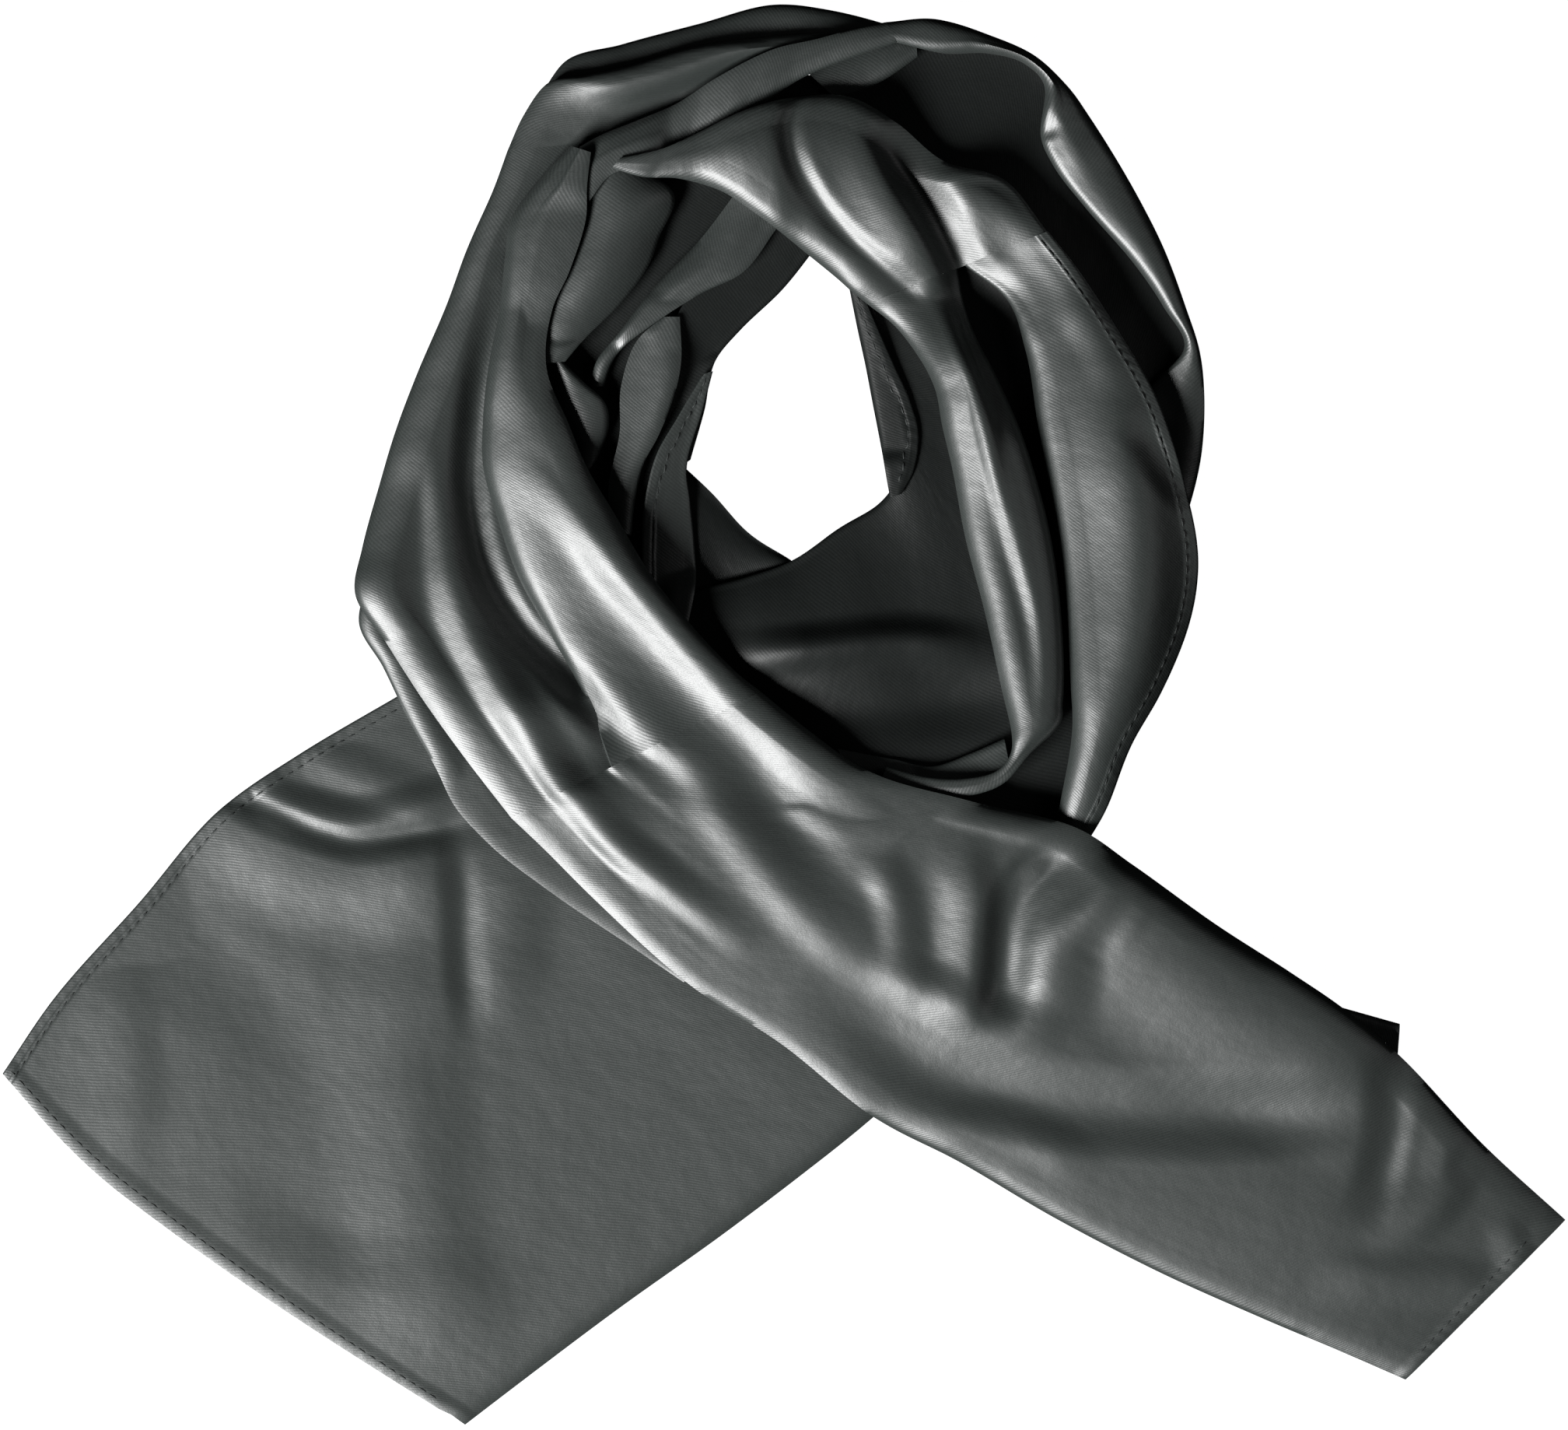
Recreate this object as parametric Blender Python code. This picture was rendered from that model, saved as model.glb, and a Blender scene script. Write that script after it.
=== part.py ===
"""A satin neckerchief, one long strip wound once into a neck loop and laid flat with two crossing tails.

Each stretch of the strip that shows is one object: a cloth wall lofted through closed sections. X points to the
right-hand tail, Y to the top of the loop and Z up from the surface that it lies on. The tables are in
millimetres, and the objects in metres.
"""

import math
from collections import namedtuple

import bmesh
import bpy
import numpy as np

MM = 0.001
WALL = 1.6
SEAM_GAP = 0.3
LAYER_GAP = 0.35
INNER_GAP = 0.5
SECTION_STEPS = 12

MAP_CELL = 1.0
MAP_HALF_X = 240
MAP_HALF_Y = 220
ARC_STEPS = 3
NARROWEST_LIP = 0.2

CLOTH_COLOUR = (0.105, 0.118, 0.113, 1.0)
CLOTH_ROUGHNESS = 0.42

Section = namedtuple("Section", "a_x a_y b_x b_y a_level mid_level b_level")
Fold = namedtuple("Fold", "path left_width right_width height")
Edge = namedtuple("Edge", "reach lip")
Bow = namedtuple("Bow", "depth peak")

HEM = None
NO_BOW = Bow(0.0, 0.5)
BOW_FADE = 0.2

Stretch = namedtuple(
    "Stretch",
    "name sections a_edge b_edge along across folds beside bow solid",
    defaults=((), (), NO_BOW, False),
)

BACK_TAIL = (
    Section(-226, -103.5, -92, -205, 0, 3, 4.5),
    Section(-212.5, -83.5, -75, -192, 0, 3.5, 4.5),
    Section(-186.5, -54, -47, -171, 0, 4, 5),
    Section(-163, -27, -17.5, -150, 0, 4, 5),
    Section(-140, -11, 5, -133, 0, 4, 5),
    Section(-112, 5.5, 25, -117, 0, 4, 5),
    Section(-94, 16, 43, -101, 0, 2, 4.5),
)

FRONT_TAIL_UNDER = (
    Section(142, -79, 124, -112.5, 4, 2, 0),
    Section(162, -84.5, 144.5, -117, 4, 2, 0),
    Section(178, -89, 176, -119, 4, 2, 0),
)

HIDDEN_LAYERS = (
    Section(-68, -1, -38, 13.5, 7, 8, 7),
    Section(-47, -20, -15.5, -2, 7, 9, 7),
    Section(-24.5, -40.5, 7, -20, 7, 9, 7),
    Section(-2, -58.5, 27.5, -31.5, 7, 9, 7),
    Section(20.5, -77.5, 50, -37, 7, 8, 7),
    Section(43, -95.5, 72.5, -45, 6, 7, 6),
)

RIGHT_HOLLOW = (
    Section(-4, 184, -4, 171, 4, 5, 6),
    Section(15, 186, 11.5, 170, 3, 5, 7),
    Section(32, 191, 23, 166.5, 2, 4, 8),
    Section(50, 196, 38.5, 155, 2, 4, 9),
    Section(70, 191, 54.5, 148.5, 2, 4, 9),
    Section(82.5, 178, 65.5, 139.5, 2, 4, 9),
    Section(88, 160, 76, 128, 2, 4, 9),
    Section(98.5, 142, 83.5, 117, 2, 4, 9),
    Section(110.5, 124, 90.5, 106, 2, 4, 8),
    Section(117.5, 108, 96, 94.5, 2, 3, 6),
    Section(117.5, 94.5, 99.5, 85.5, 2, 2, 4),
)

OPENING_CORNER = (
    Section(-30, 73, -29, 34, 0, 2, 0),
    Section(-20.5, 64, -20.5, 35, 0, 2, 0),
    Section(-11.5, 54, -11.5, 37, 0, 2, 0),
    Section(2, 45, 5, 40.5, 0, 2, 0),
)

BOTTOM_INNER_BAND = (
    Section(-35.5, 30.5, -33, 20, 5, 7, 5),
    Section(-25.5, 36, -23, 9, 4, 8, 4),
    Section(-11.5, 40, -7.5, -3.5, 4, 10, 3),
    Section(2.5, 45, 8.5, -14.5, 3, 11, 3),
    Section(15.5, 54, 28, -26, 3, 10, 3),
    Section(27, 61, 54, -35, 3, 8, 3),
    Section(33, 69, 84, -27, 3, 6, 3),
    Section(34.5, 80, 86, 20, 3, 6, 3),
    Section(33, 92, 84, 62, 3, 5, 3),
    Section(30, 106, 82, 102, 3, 4, 3),
    Section(25, 121, 74, 128, 3, 3, 3),
)

INNER_GROUND = (
    Section(-69.5, 154, -13, 157, 6, 4, 2),
    Section(-71.5, 133, -20, 137, 6, 4, 2),
    Section(-69.5, 112.5, -26.5, 112.5, 6, 4, 2),
    Section(-63.5, 94.5, -29, 94.5, 6, 4, 2),
    Section(-57, 79, -33.5, 79, 6, 4, 2),
    Section(-50, 63, -38, 63, 5, 3, 2),
    Section(-43.5, 45, -35.5, 45, 4, 3, 2),
)

OPENING_RIM = (
    Section(-13, 148, 9.5, 135.5, 8, 6, 2),
    Section(-23, 128, -1, 122.5, 8, 5, 2),
    Section(-31, 115, -12.5, 111.5, 8, 5, 2),
    Section(-35.5, 101, -19.5, 103, 7, 4, 2),
    Section(-40, 81, -23, 88, 5, 3, 2),
    Section(-42.5, 63, -27, 74, 4, 3, 2),
)

OPENING_HEM_STRIP = (
    Section(-22.5, 99.5, -18.5, 101, 5, 5, 4),
    Section(-30.5, 86.5, -23.5, 88, 6, 5, 4),
    Section(-37.5, 73.5, -28, 72, 7, 6, 4),
    Section(-40.5, 60, -27, 61.5, 7, 6, 4),
    Section(-41, 51.5, -26, 51.5, 7, 6, 4),
    Section(-41, 39.5, -25.5, 38, 7, 6, 4),
    Section(-40, 29, -27.5, 27, 6, 5, 4),
)

INNER_FLAP = (
    Section(18.5, 125, 23.5, 120.5, 6, 6, 6),
    Section(21, 112.5, 27, 112.5, 5, 6, 6),
    Section(23.5, 101, 32, 101, 5, 6, 6),
    Section(25.5, 90.5, 36.5, 91, 5, 6, 6),
    Section(28, 77.5, 39, 80, 5, 6, 6),
    Section(29.5, 68.5, 37, 69.5, 5, 6, 6),
    Section(30.5, 63, 34, 64, 5, 6, 6),
)

INNER_FOLD_CONE = (
    Section(-53, 159, -47, 160, 13, 13, 13),
    Section(-59, 146, -32, 151, 11, 15, 9),
    Section(-63, 135, -36, 138, 11, 15, 8),
    Section(-67, 127, -39, 130, 11, 15, 8),
    Section(-71, 117, -47, 119, 11, 14, 9),
    Section(-73, 108, -58, 108, 11, 13, 11),
    Section(-73, 101, -63, 102, 11, 11, 11),
)

INNER_FOLD_WING = (
    Section(-13, 152, -2, 140.5, 9, 10, 8),
    Section(-24.5, 137, -11.5, 128, 8, 11, 8),
    Section(-37.5, 123.5, -25, 121, 8, 11, 8),
    Section(-43.5, 116, -36, 114, 8, 10, 8),
    Section(-48, 110, -46, 106.5, 8, 9, 8),
    Section(-54, 102.5, -49.5, 102, 8, 9, 8),
    Section(-56, 95, -52, 95, 7, 8, 7),
)

INNER_FOLD_LEAF = (
    Section(-35, 115, -30, 115, 8, 8, 8),
    Section(-42.5, 108, -29.5, 103.5, 8, 9, 10),
    Section(-47, 95, -31.5, 92.5, 8, 9, 11),
    Section(-47.5, 81, -36, 81, 8, 9, 10),
    Section(-50.5, 67.5, -41, 71, 8, 9, 9),
    Section(-50.5, 61.5, -43, 61.5, 8, 9, 9),
    Section(-49, 54, -44, 52, 7, 8, 7),
)

INNER_FOLD_CUFF = (
    Section(-68, 104.5, -64, 102.5, 11, 12, 12),
    Section(-66, 97, -57.5, 96, 10, 12, 11),
    Section(-64.5, 90, -52, 91, 10, 12, 10),
    Section(-60.5, 79, -50.5, 83, 9, 11, 9),
    Section(-57, 70, -54, 74, 9, 9, 9),
)

ROLL_CUP = (
    Section(15.5, -9.5, 18.5, -16, 8, 7, 7),
    Section(31.5, -12.5, 32, -19, 8, 8, 9),
    Section(43, -14.5, 44.5, -20.5, 8, 9, 10),
    Section(54.5, -10.5, 55.5, -20, 8, 9, 11),
    Section(63.5, -6.5, 65, -14.5, 9, 10, 12),
)

RIGHT_OUTER_BAND = (
    Section(29.5, 200, 32.5, 194, 11, 12, 12),
    Section(43.5, 201, 45.5, 191, 10, 12, 13),
    Section(59, 196.5, 59, 191, 9, 12, 13),
    Section(73, 190, 69.5, 188, 9, 12, 13),
    Section(81.5, 182, 75, 182, 9, 12, 13),
    Section(88.5, 172.5, 74, 167.5, 8, 11, 10),
    Section(95.5, 161.5, 77.5, 159, 8, 11, 9),
    Section(103.5, 147.5, 87, 146.5, 8, 11, 9),
    Section(110.5, 133, 100.5, 131, 8, 11, 9),
    Section(116, 118, 109.5, 118, 8, 10, 9),
    Section(120, 105.5, 115.5, 106, 8, 9, 8),
    Section(121.5, 94.5, 106, 95, 7, 6, 5),
    Section(121, 77, 104, 81, 7, 5, 4),
    Section(117.5, 61, 106, 63, 7, 5, 4),
    Section(113.5, 49.5, 105, 49.5, 5, 4, 4),
)

TOP_PLEAT_OUTER = (
    Section(-69.5, 181, -64, 177, 4.5, 4, 4),
    Section(-63.5, 189, -56, 179, 5, 5, 4),
    Section(-47, 194, -43.5, 181, 5, 6, 4),
    Section(-24.5, 200, -23, 187, 5, 6, 4),
    Section(-3, 205.5, -4, 189, 5, 6, 4),
    Section(13, 204, 13, 190, 4.5, 6, 4),
    Section(29, 200, 27.5, 191, 4.5, 5, 4),
    Section(37.5, 197, 35.5, 190, 4.5, 4, 4),
)

TOP_PLEAT_MIDDLE = (
    Section(-80, 163, -59, 165, 9, 9, 6),
    Section(-75.5, 173, -49, 166, 9, 10, 5),
    Section(-69, 182, -40, 167, 9, 10, 5),
    Section(-57.5, 184.5, -28, 174, 9, 11, 5),
    Section(-46, 187, -17, 179.5, 9, 11, 5),
    Section(-25, 193, -1, 186.5, 9, 10, 6),
    Section(-6.5, 195.5, 12, 190, 9, 10, 7),
    Section(11.5, 197, 27, 193, 8.5, 9, 8),
)

TOP_PLEAT_INNER = (
    Section(-59, 164, -56, 148, 11, 11, 8),
    Section(-52.5, 167.5, -50.5, 155, 12, 13, 10),
    Section(-42.5, 171.5, -43.5, 157.5, 12, 13, 10),
    Section(-31, 176.5, -32, 158.5, 12, 12, 9),
    Section(-20, 183.5, -20, 164, 12, 12, 9),
    Section(-3, 192, -7.5, 175, 12, 13, 11),
    Section(9.5, 195, 5, 183.5, 12, 13, 12),
    Section(20.5, 198, 19.5, 189.5, 12, 13, 12),
    Section(29.5, 200, 32.5, 194, 11, 12, 12),
)

TOP_TONGUE = (
    Section(7, 185.5, 15, 178, 6, 7, 7),
    Section(19.5, 191, 24, 181, 6, 8, 8),
    Section(31.5, 196, 31.5, 185, 6, 8, 8),
    Section(38, 196.5, 38.5, 190, 6, 7, 8),
)

RIGHT_PANEL = (
    Section(52, 130, 76, 139.5, 7, 14, 12),
    Section(63.5, 121, 84, 129.5, 10, 14, 12),
    Section(69.5, 105.5, 96, 111.5, 12, 14, 12),
    Section(73, 84, 108.5, 89, 13, 13, 12),
    Section(76, 68.5, 116, 65, 13, 13, 11),
    Section(80, 42, 119.5, 41.5, 13, 13, 8),
    Section(81.5, 25.5, 117, 26.5, 13, 13, 7),
    Section(82.5, 8, 108.5, 6, 13, 12, 7),
    Section(83, -3, 101, -7, 12, 12, 7),
    Section(79.5, -25.5, 92, -29, 10, 11, 8),
    Section(77, -38, 85, -40.5, 8, 8, 7),
)

RIGHT_TOP = (
    Section(-49.5, 157.5, -47, 160.5, 15, 15, 15),
    Section(-41, 155, -35.5, 163, 15, 16, 15),
    Section(-30.5, 154.5, -24.5, 168, 15, 17, 14),
    Section(-18.5, 151, -11, 174.5, 15, 18, 13),
    Section(-8.5, 144.5, 5, 178.5, 15, 18, 13),
    Section(-1, 139, 18.5, 178.5, 15, 18, 13),
    Section(6.5, 133, 32.5, 171, 15, 17, 14),
    Section(14.5, 126.5, 47, 159.5, 15, 17, 13),
    Section(19.5, 122, 63.5, 154.5, 15, 16, 12),
    Section(24, 118.5, 76, 139.5, 15, 12, 12),
)

RIGHT_ROLL = (
    Section(24, 118.5, 50, 129, 15, 17, 7),
    Section(31.5, 112.5, 52, 119, 15, 18, 9),
    Section(39.5, 102, 56, 108, 15, 19, 12),
    Section(43, 95, 61, 98.5, 15, 19, 13),
    Section(45.5, 83, 68.5, 81.5, 15, 20, 14),
    Section(48, 72.5, 72, 71, 15, 20, 14),
    Section(52, 51.5, 77, 51.5, 15, 20, 14),
    Section(57.5, 30.5, 80, 29.5, 15, 19, 14),
    Section(62.5, 8, 80.5, 4, 15, 18, 13),
    Section(65.5, -5.5, 79, -3.5, 14, 17, 12),
    Section(65, -11.5, 71, -11, 13, 15, 12),
    Section(61, -16, 64, -19, 13, 14, 12),
    Section(52, -18, 54, -23, 12, 14, 12),
    Section(41, -17.5, 41, -23, 12, 13, 12),
    Section(29.5, -14.5, 27.5, -20.5, 11, 12, 11),
)

LEFT_HEM_STRIP = (
    Section(-121.5, 36.5, -113.5, 35.5, 6, 5, 4),
    Section(-123, 27, -111, 27, 6, 5, 3),
    Section(-116, 14, -103, 16, 7, 5, 3),
    Section(-109, -0.5, -94, 4.5, 7, 5, 3),
    Section(-100.5, -15.5, -85, -9, 7, 5, 3),
    Section(-95, -26.5, -78.5, -18, 6, 4, 3),
    Section(-86.5, -36, -71.5, -25, 5, 4, 4),
    Section(-67.5, -51, -56, -39.5, 5, 4, 4),
    Section(-43, -67.5, -35.5, -58.5, 5, 4, 4),
    Section(-29, -77, -24.5, -72, 5, 4, 4),
)

OUTER_LEFT_BAND = (
    Section(-80, 163, -59, 165, 9, 9, 6),
    Section(-84, 152, -66.5, 151, 9, 9, 5),
    Section(-92, 134, -75, 133, 9, 9, 4),
    Section(-97.5, 119, -76.5, 118, 9, 9, 4),
    Section(-106.5, 98, -79.5, 99, 10, 9, 3),
    Section(-112.5, 82, -81.5, 83, 11, 9, 3),
    Section(-117, 67, -80.5, 67.5, 11, 9, 3),
    Section(-122, 48.5, -77, 54, 11, 10, 3),
    Section(-124, 35.5, -71.5, 41.5, 11, 11, 3),
    Section(-115, 21, -60.5, 27, 11, 11, 3),
    Section(-104, 4, -49, 13.5, 11, 12, 3),
    Section(-91, -14, -41, 2, 11, 12.5, 2.5),
    Section(-79, -29.5, -42, -11, 11, 13, 3),
)

INNER_LEFT_BAND = (
    Section(-61.5, 164, -55.5, 162, 9, 9, 9),
    Section(-68.5, 157, -56.5, 153, 11, 11, 8),
    Section(-78.5, 144, -57, 142, 13, 12, 6),
    Section(-80.5, 133, -61.5, 128, 14, 13, 6),
    Section(-82, 118.5, -66.5, 117, 14, 15, 9),
    Section(-85.5, 99.5, -68, 99, 14, 17, 14),
    Section(-87, 84.5, -62, 84.5, 14, 18, 15),
    Section(-87, 72.5, -57, 72.5, 14, 19, 15),
    Section(-83, 57.5, -48.5, 58, 13, 19, 15),
    Section(-77, 40.5, -38, 40.5, 12, 18, 15),
    Section(-68.5, 25, -25.5, 25, 10, 17, 15),
    Section(-59, 8, -14, 13, 11, 16, 15),
    Section(-50, -15, -6.5, 7, 12, 15.5, 15),
)

FRONT_TAIL = (
    Section(-79, -29.5, -6.5, 7, 11, 13, 15),
    Section(-69.5, -38.5, 6.5, -3.5, 11, 13, 15),
    Section(-56, -52, 22, -14.5, 11, 13, 15),
    Section(-27, -78, 54, -24.5, 10, 14, 15),
    Section(0, -95.5, 84, -32, 9, 13, 14),
    Section(25, -115.5, 101, -43, 8, 12, 12),
    Section(50.5, -129, 124, -59.5, 7, 11, 9),
    Section(79.5, -146, 146.5, -74, 6, 10, 7),
    Section(108.5, -161, 162.5, -85, 5, 9, 6.5),
    Section(137.5, -174, 179.5, -99.5, 4.5, 8, 6),
    Section(160, -183.5, 202.5, -124, 4.5, 6, 5),
    Section(179.5, -192, 226, -145.5, 4.5, 4, 4.5),
)

BACK_TAIL_FOLDS = (
    Fold(((-95, -26.5), (-124.5, -37), (-148, -21.5)), 5, 4, 3.5),
    Fold(((-147, -20), (-134.5, -18.5), (-114.5, -28)), 6, 5, 2.5),
    Fold(((-159.5, -26), (-139, -34), (-101, -40)), 4, 5, -2.5),
    Fold(((-168, -40.5), (-148, -37), (-119, -47)), 14, 9, 4),
    Fold(((-86, -40.5), (-85.5, -58.5), (-83, -80)), 6, 6, 4),
    Fold(((-97.5, -43), (-98, -63), (-92, -85.5)), 5, 5, -2.5),
    Fold(((-119, -83), (-113, -115.5), (-106.5, -153)), 12, 9, 3),
    Fold(((-104, -94), (-99.5, -130), (-98.5, -164)), 9, 10, -2.5),
    Fold(((-201, -81), (-200, -92), (-197.5, -112.5)), 8, 8, 2.2),
    Fold(((-166, -137), (-146, -155), (-101, -168.5)), 8, 8, -2.5),
    Fold(((-152.5, -164), (-132.5, -172), (-110, -180.5)), 8, 8, 2.5),
)

LEFT_FOLDS = (
    Fold(((-66, 24), (-57, 2), (-50, -14), (-40, -34)), 5, 5, -2.5),
    Fold(((-114.5, 63), (-111, 36), (-92, 7), (-71.5, -20), (-56, -37), (-35.5, -56), (-13, -75.5)), 7, 9, 3.5),
    Fold(((-105.5, 40.5), (-98, 24.5), (-84, 0.5), (-71.5, -18)), 4, 4, -2),
    Fold(((-98.5, 52), (-90.5, 28), (-83, 13.5), (-69.5, -9), (-51.5, -29), (-35.5, -45)), 5, 5, 2.5),
    Fold(((-71.5, 90), (-65, 67.5), (-51.5, 45), (-35.5, 27), (-15.5, 7)), 9, 12, 2),
    Fold(((-61.5, 52), (-46, 32.5), (-33.5, 18), (-16, -1.5)), 3, 4, 1.2),
)

FRONT_TAIL_FOLDS = (
    Fold(((-13, 3.5), (16, -16), (45.5, -29), (72.5, -34), (90.5, -38.5)), 5, 7, 3),
    Fold(((32, -52), (36.5, -63), (40, -74)), 9, 9, -3.5),
    Fold(((58, -44), (58.5, -63), (62, -84.5)), 7, 6, -4.5),
    Fold(((49, -47), (52, -63), (46.5, -82)), 7, 6, 2),
    Fold(((95.5, -40.5), (86, -55), (73.5, -64), (71.5, -83)), 6, 9, 3.5),
    Fold(((97, -47), (92.5, -56), (87, -66.5)), 6, 6, -2),
    Fold(((65.5, -110), (110.5, -117), (142, -119), (170.5, -120.5)), 20, 16, -3.5),
    Fold(((106, -70), (142, -85.5), (176, -104.5), (189.5, -124)), 12, 20, 3),
    Fold(((-2, -63), (16, -79), (54.5, -108)), 12, 12, -2),
)

RIGHT_FOLDS = (
    Fold(((6, 173), (8.5, 157.5), (18.5, 140.5), (32, 124)), 6, 6, -2.5),
    Fold(((26, 178), (34, 160), (43, 141), (52, 119), (58, 98)), 11, 10, -5.5),
    Fold(((19.5, 177), (34, 168.5), (50, 154), (65.5, 139.5), (76, 121.5), (83.5, 103.5)), 7, 9, 2.5),
    Fold(((104, 85.5), (109.5, 54), (104, 27)), 22, 18, 2),
    Fold(((63.5, 61), (70, 36), (72, 9)), 3, 3, -1.5),
    Fold(((-24.5, 161), (-6.5, 164), (-2, 171)), 12, 12, 2),
)

TOP_FOLDS = (
    Fold(((-66, 174.5), (-47, 182), (-24.5, 188.5), (-2, 194)), 6, 6, 2),
    Fold(((76, 173), (88, 155), (104, 133)), 8, 8, 1.5),
)

STRETCHES = (
    Stretch("hidden_layers", HIDDEN_LAYERS, HEM, HEM, 6, 4, solid=True),
    Stretch("back_tail", BACK_TAIL, HEM, Edge(3, 20), 14, 13, BACK_TAIL_FOLDS, bow=Bow(7, 0.3)),
    Stretch("front_tail_under", FRONT_TAIL_UNDER, Edge(2, 6), HEM, 3, 3),
    Stretch("right_hollow", RIGHT_HOLLOW, HEM, HEM, 10, 4),
    Stretch("opening_corner", OPENING_CORNER, HEM, HEM, 4, 2),
    Stretch("bottom_inner_band", BOTTOM_INNER_BAND, Edge(2, 5), HEM, 12, 6),
    Stretch("inner_ground", INNER_GROUND, HEM, HEM, 6, 3),
    Stretch("opening_rim", OPENING_RIM, HEM, Edge(2, 4), 7, 2),
    Stretch("opening_hem_strip", OPENING_HEM_STRIP, HEM, Edge(2, 4), 8, 2),
    Stretch("inner_flap", INNER_FLAP, Edge(2, 3), HEM, 7, 2),
    Stretch("inner_fold_leaf", INNER_FOLD_LEAF, HEM, Edge(2.5, 3), 7, 3),
    Stretch("inner_fold_wing", INNER_FOLD_WING, HEM, Edge(2, 3), 8, 3),
    Stretch("inner_fold_cuff", INNER_FOLD_CUFF, HEM, Edge(2.5, 3), 5, 3),
    Stretch("inner_fold_cone", INNER_FOLD_CONE, Edge(3, 4), HEM, 7, 4),
    Stretch("roll_cup", ROLL_CUP, Edge(1.5, 2), HEM, 6, 2),
    Stretch("top_pleat_outer", TOP_PLEAT_OUTER, Edge(3, 6), HEM, 14, 3),
    Stretch("top_tongue", TOP_TONGUE, HEM, Edge(2, 3), 4, 3),
    Stretch("left_hem_strip", LEFT_HEM_STRIP, Edge(3, 5), HEM, 13, 3),
    Stretch("outer_left_band", OUTER_LEFT_BAND, Edge(4, 8), HEM, 15, 6, LEFT_FOLDS),
    Stretch(
        "top_pleat_middle", TOP_PLEAT_MIDDLE, Edge(3, 6), HEM, 10, 4,
        TOP_FOLDS, beside=("outer_left_band",),
    ),
    Stretch("top_pleat_inner", TOP_PLEAT_INNER, Edge(3, 5), Edge(3, 4), 10, 3),
    Stretch("right_outer_band", RIGHT_OUTER_BAND, Edge(4, 6), Edge(3, 4), 18, 3, beside=("top_pleat_inner",)),
    Stretch("right_panel", RIGHT_PANEL, Edge(3, 6), Edge(2.5, 6), 14, 6, RIGHT_FOLDS),
    Stretch("right_top", RIGHT_TOP, Edge(5, 6), Edge(4, 5), 14, 10, RIGHT_FOLDS, beside=("right_panel",)),
    Stretch(
        "right_roll", RIGHT_ROLL, Edge(5, 5), Edge(5, 5), 18, 4,
        RIGHT_FOLDS, beside=("right_top", "right_panel"),
    ),
    Stretch("inner_left_band", INNER_LEFT_BAND, Edge(3, 4), Edge(4, 5), 15, 6, LEFT_FOLDS),
    Stretch(
        "front_tail", FRONT_TAIL, Edge(4, 10), Edge(5, 10), 17, 9,
        LEFT_FOLDS + FRONT_TAIL_FOLDS, beside=("outer_left_band", "inner_left_band"),
    ),
)


def smooth_curve(points, stops, at):
    """Points of the smooth curve through the given rows, which lie at the given stops."""
    points = np.asarray(points, float)
    slopes = np.gradient(points, stops, axis=0)
    place = np.clip(np.searchsorted(stops, at, side="right") - 1, 0, len(stops) - 2)
    span = stops[place + 1] - stops[place]
    t = ((at - stops[place]) / span)[:, None]
    span = span[:, None]
    start, end = points[place], points[place + 1]
    return (
        start * (1 + 2 * t) * (1 - t) ** 2
        + slopes[place] * span * t * (1 - t) ** 2
        + end * t**2 * (3 - 2 * t)
        + slopes[place + 1] * span * t**2 * (t - 1)
    )


def fold_height(x, y, fold):
    """How far one fold raises, or with a negative height lowers, the cloth at each point."""
    path = np.array(fold.path, float)
    stops = np.concatenate([[0], np.cumsum(np.linalg.norm(np.diff(path, axis=0), axis=1))])
    line = smooth_curve(path, stops, np.linspace(0, stops[-1], SECTION_STEPS * len(path)))
    tangent = np.gradient(line, axis=0)
    tangent /= np.linalg.norm(tangent, axis=1)[:, None]
    offset_x = x[..., None] - line[:, 0]
    offset_y = y[..., None] - line[:, 1]
    nearest = np.argmin(offset_x**2 + offset_y**2, axis=-1)
    pick_x = np.take_along_axis(offset_x, nearest[..., None], -1)[..., 0]
    pick_y = np.take_along_axis(offset_y, nearest[..., None], -1)[..., 0]
    run = tangent[nearest]
    along = pick_x * run[..., 0] + pick_y * run[..., 1]
    aside = run[..., 0] * pick_y - run[..., 1] * pick_x
    width = np.where(aside > 0, fold.left_width, fold.right_width)
    away = np.hypot(aside, along * 0.6) / width
    share = nearest / (len(line) - 1)
    taper = np.sqrt(np.clip(np.sin(math.pi * (0.04 + 0.92 * share)), 0, 1))
    bump = np.where(away < 1, 0.5 + 0.5 * np.cos(math.pi * np.clip(away, 0, 1)), 0)
    return fold.height * taper * bump


def across_fade(share, low, middle, high):
    """A level that passes through its values at the A edge, the middle and the B edge."""
    return low * (1 - share) * (1 - 2 * share) + 4 * middle * share * (1 - share) + high * share * (2 * share - 1)


def refined(grid, steps):
    """The grid with straight steps added between its rows and its columns."""
    for axis in (0, 1):
        grid = np.moveaxis(grid, axis, 0)
        share = (np.arange(steps) / steps).reshape((1, steps) + (1,) * (grid.ndim - 1))
        filled = grid[:-1, None] * (1 - share) + grid[1:, None] * share
        grid = np.concatenate([filled.reshape((-1,) + grid.shape[1:]), grid[-1:]])
        grid = np.moveaxis(grid, 0, axis)
    return grid


def steps_for(grid):
    """How many straight steps bring the grid's points closer together than a cell of the map."""
    rows = np.linalg.norm(np.diff(grid[..., :2], axis=0), axis=-1).max()
    columns = np.linalg.norm(np.diff(grid[..., :2], axis=1), axis=-1).max()
    return max(2, math.ceil(max(rows, columns) / (0.7 * MAP_CELL)))


def map_place(x, y):
    row = np.clip(np.round((y + MAP_HALF_Y) / MAP_CELL).astype(int), 0, int(2 * MAP_HALF_Y / MAP_CELL))
    column = np.clip(np.round((x + MAP_HALF_X) / MAP_CELL).astype(int), 0, int(2 * MAP_HALF_X / MAP_CELL))
    return row, column


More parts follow.
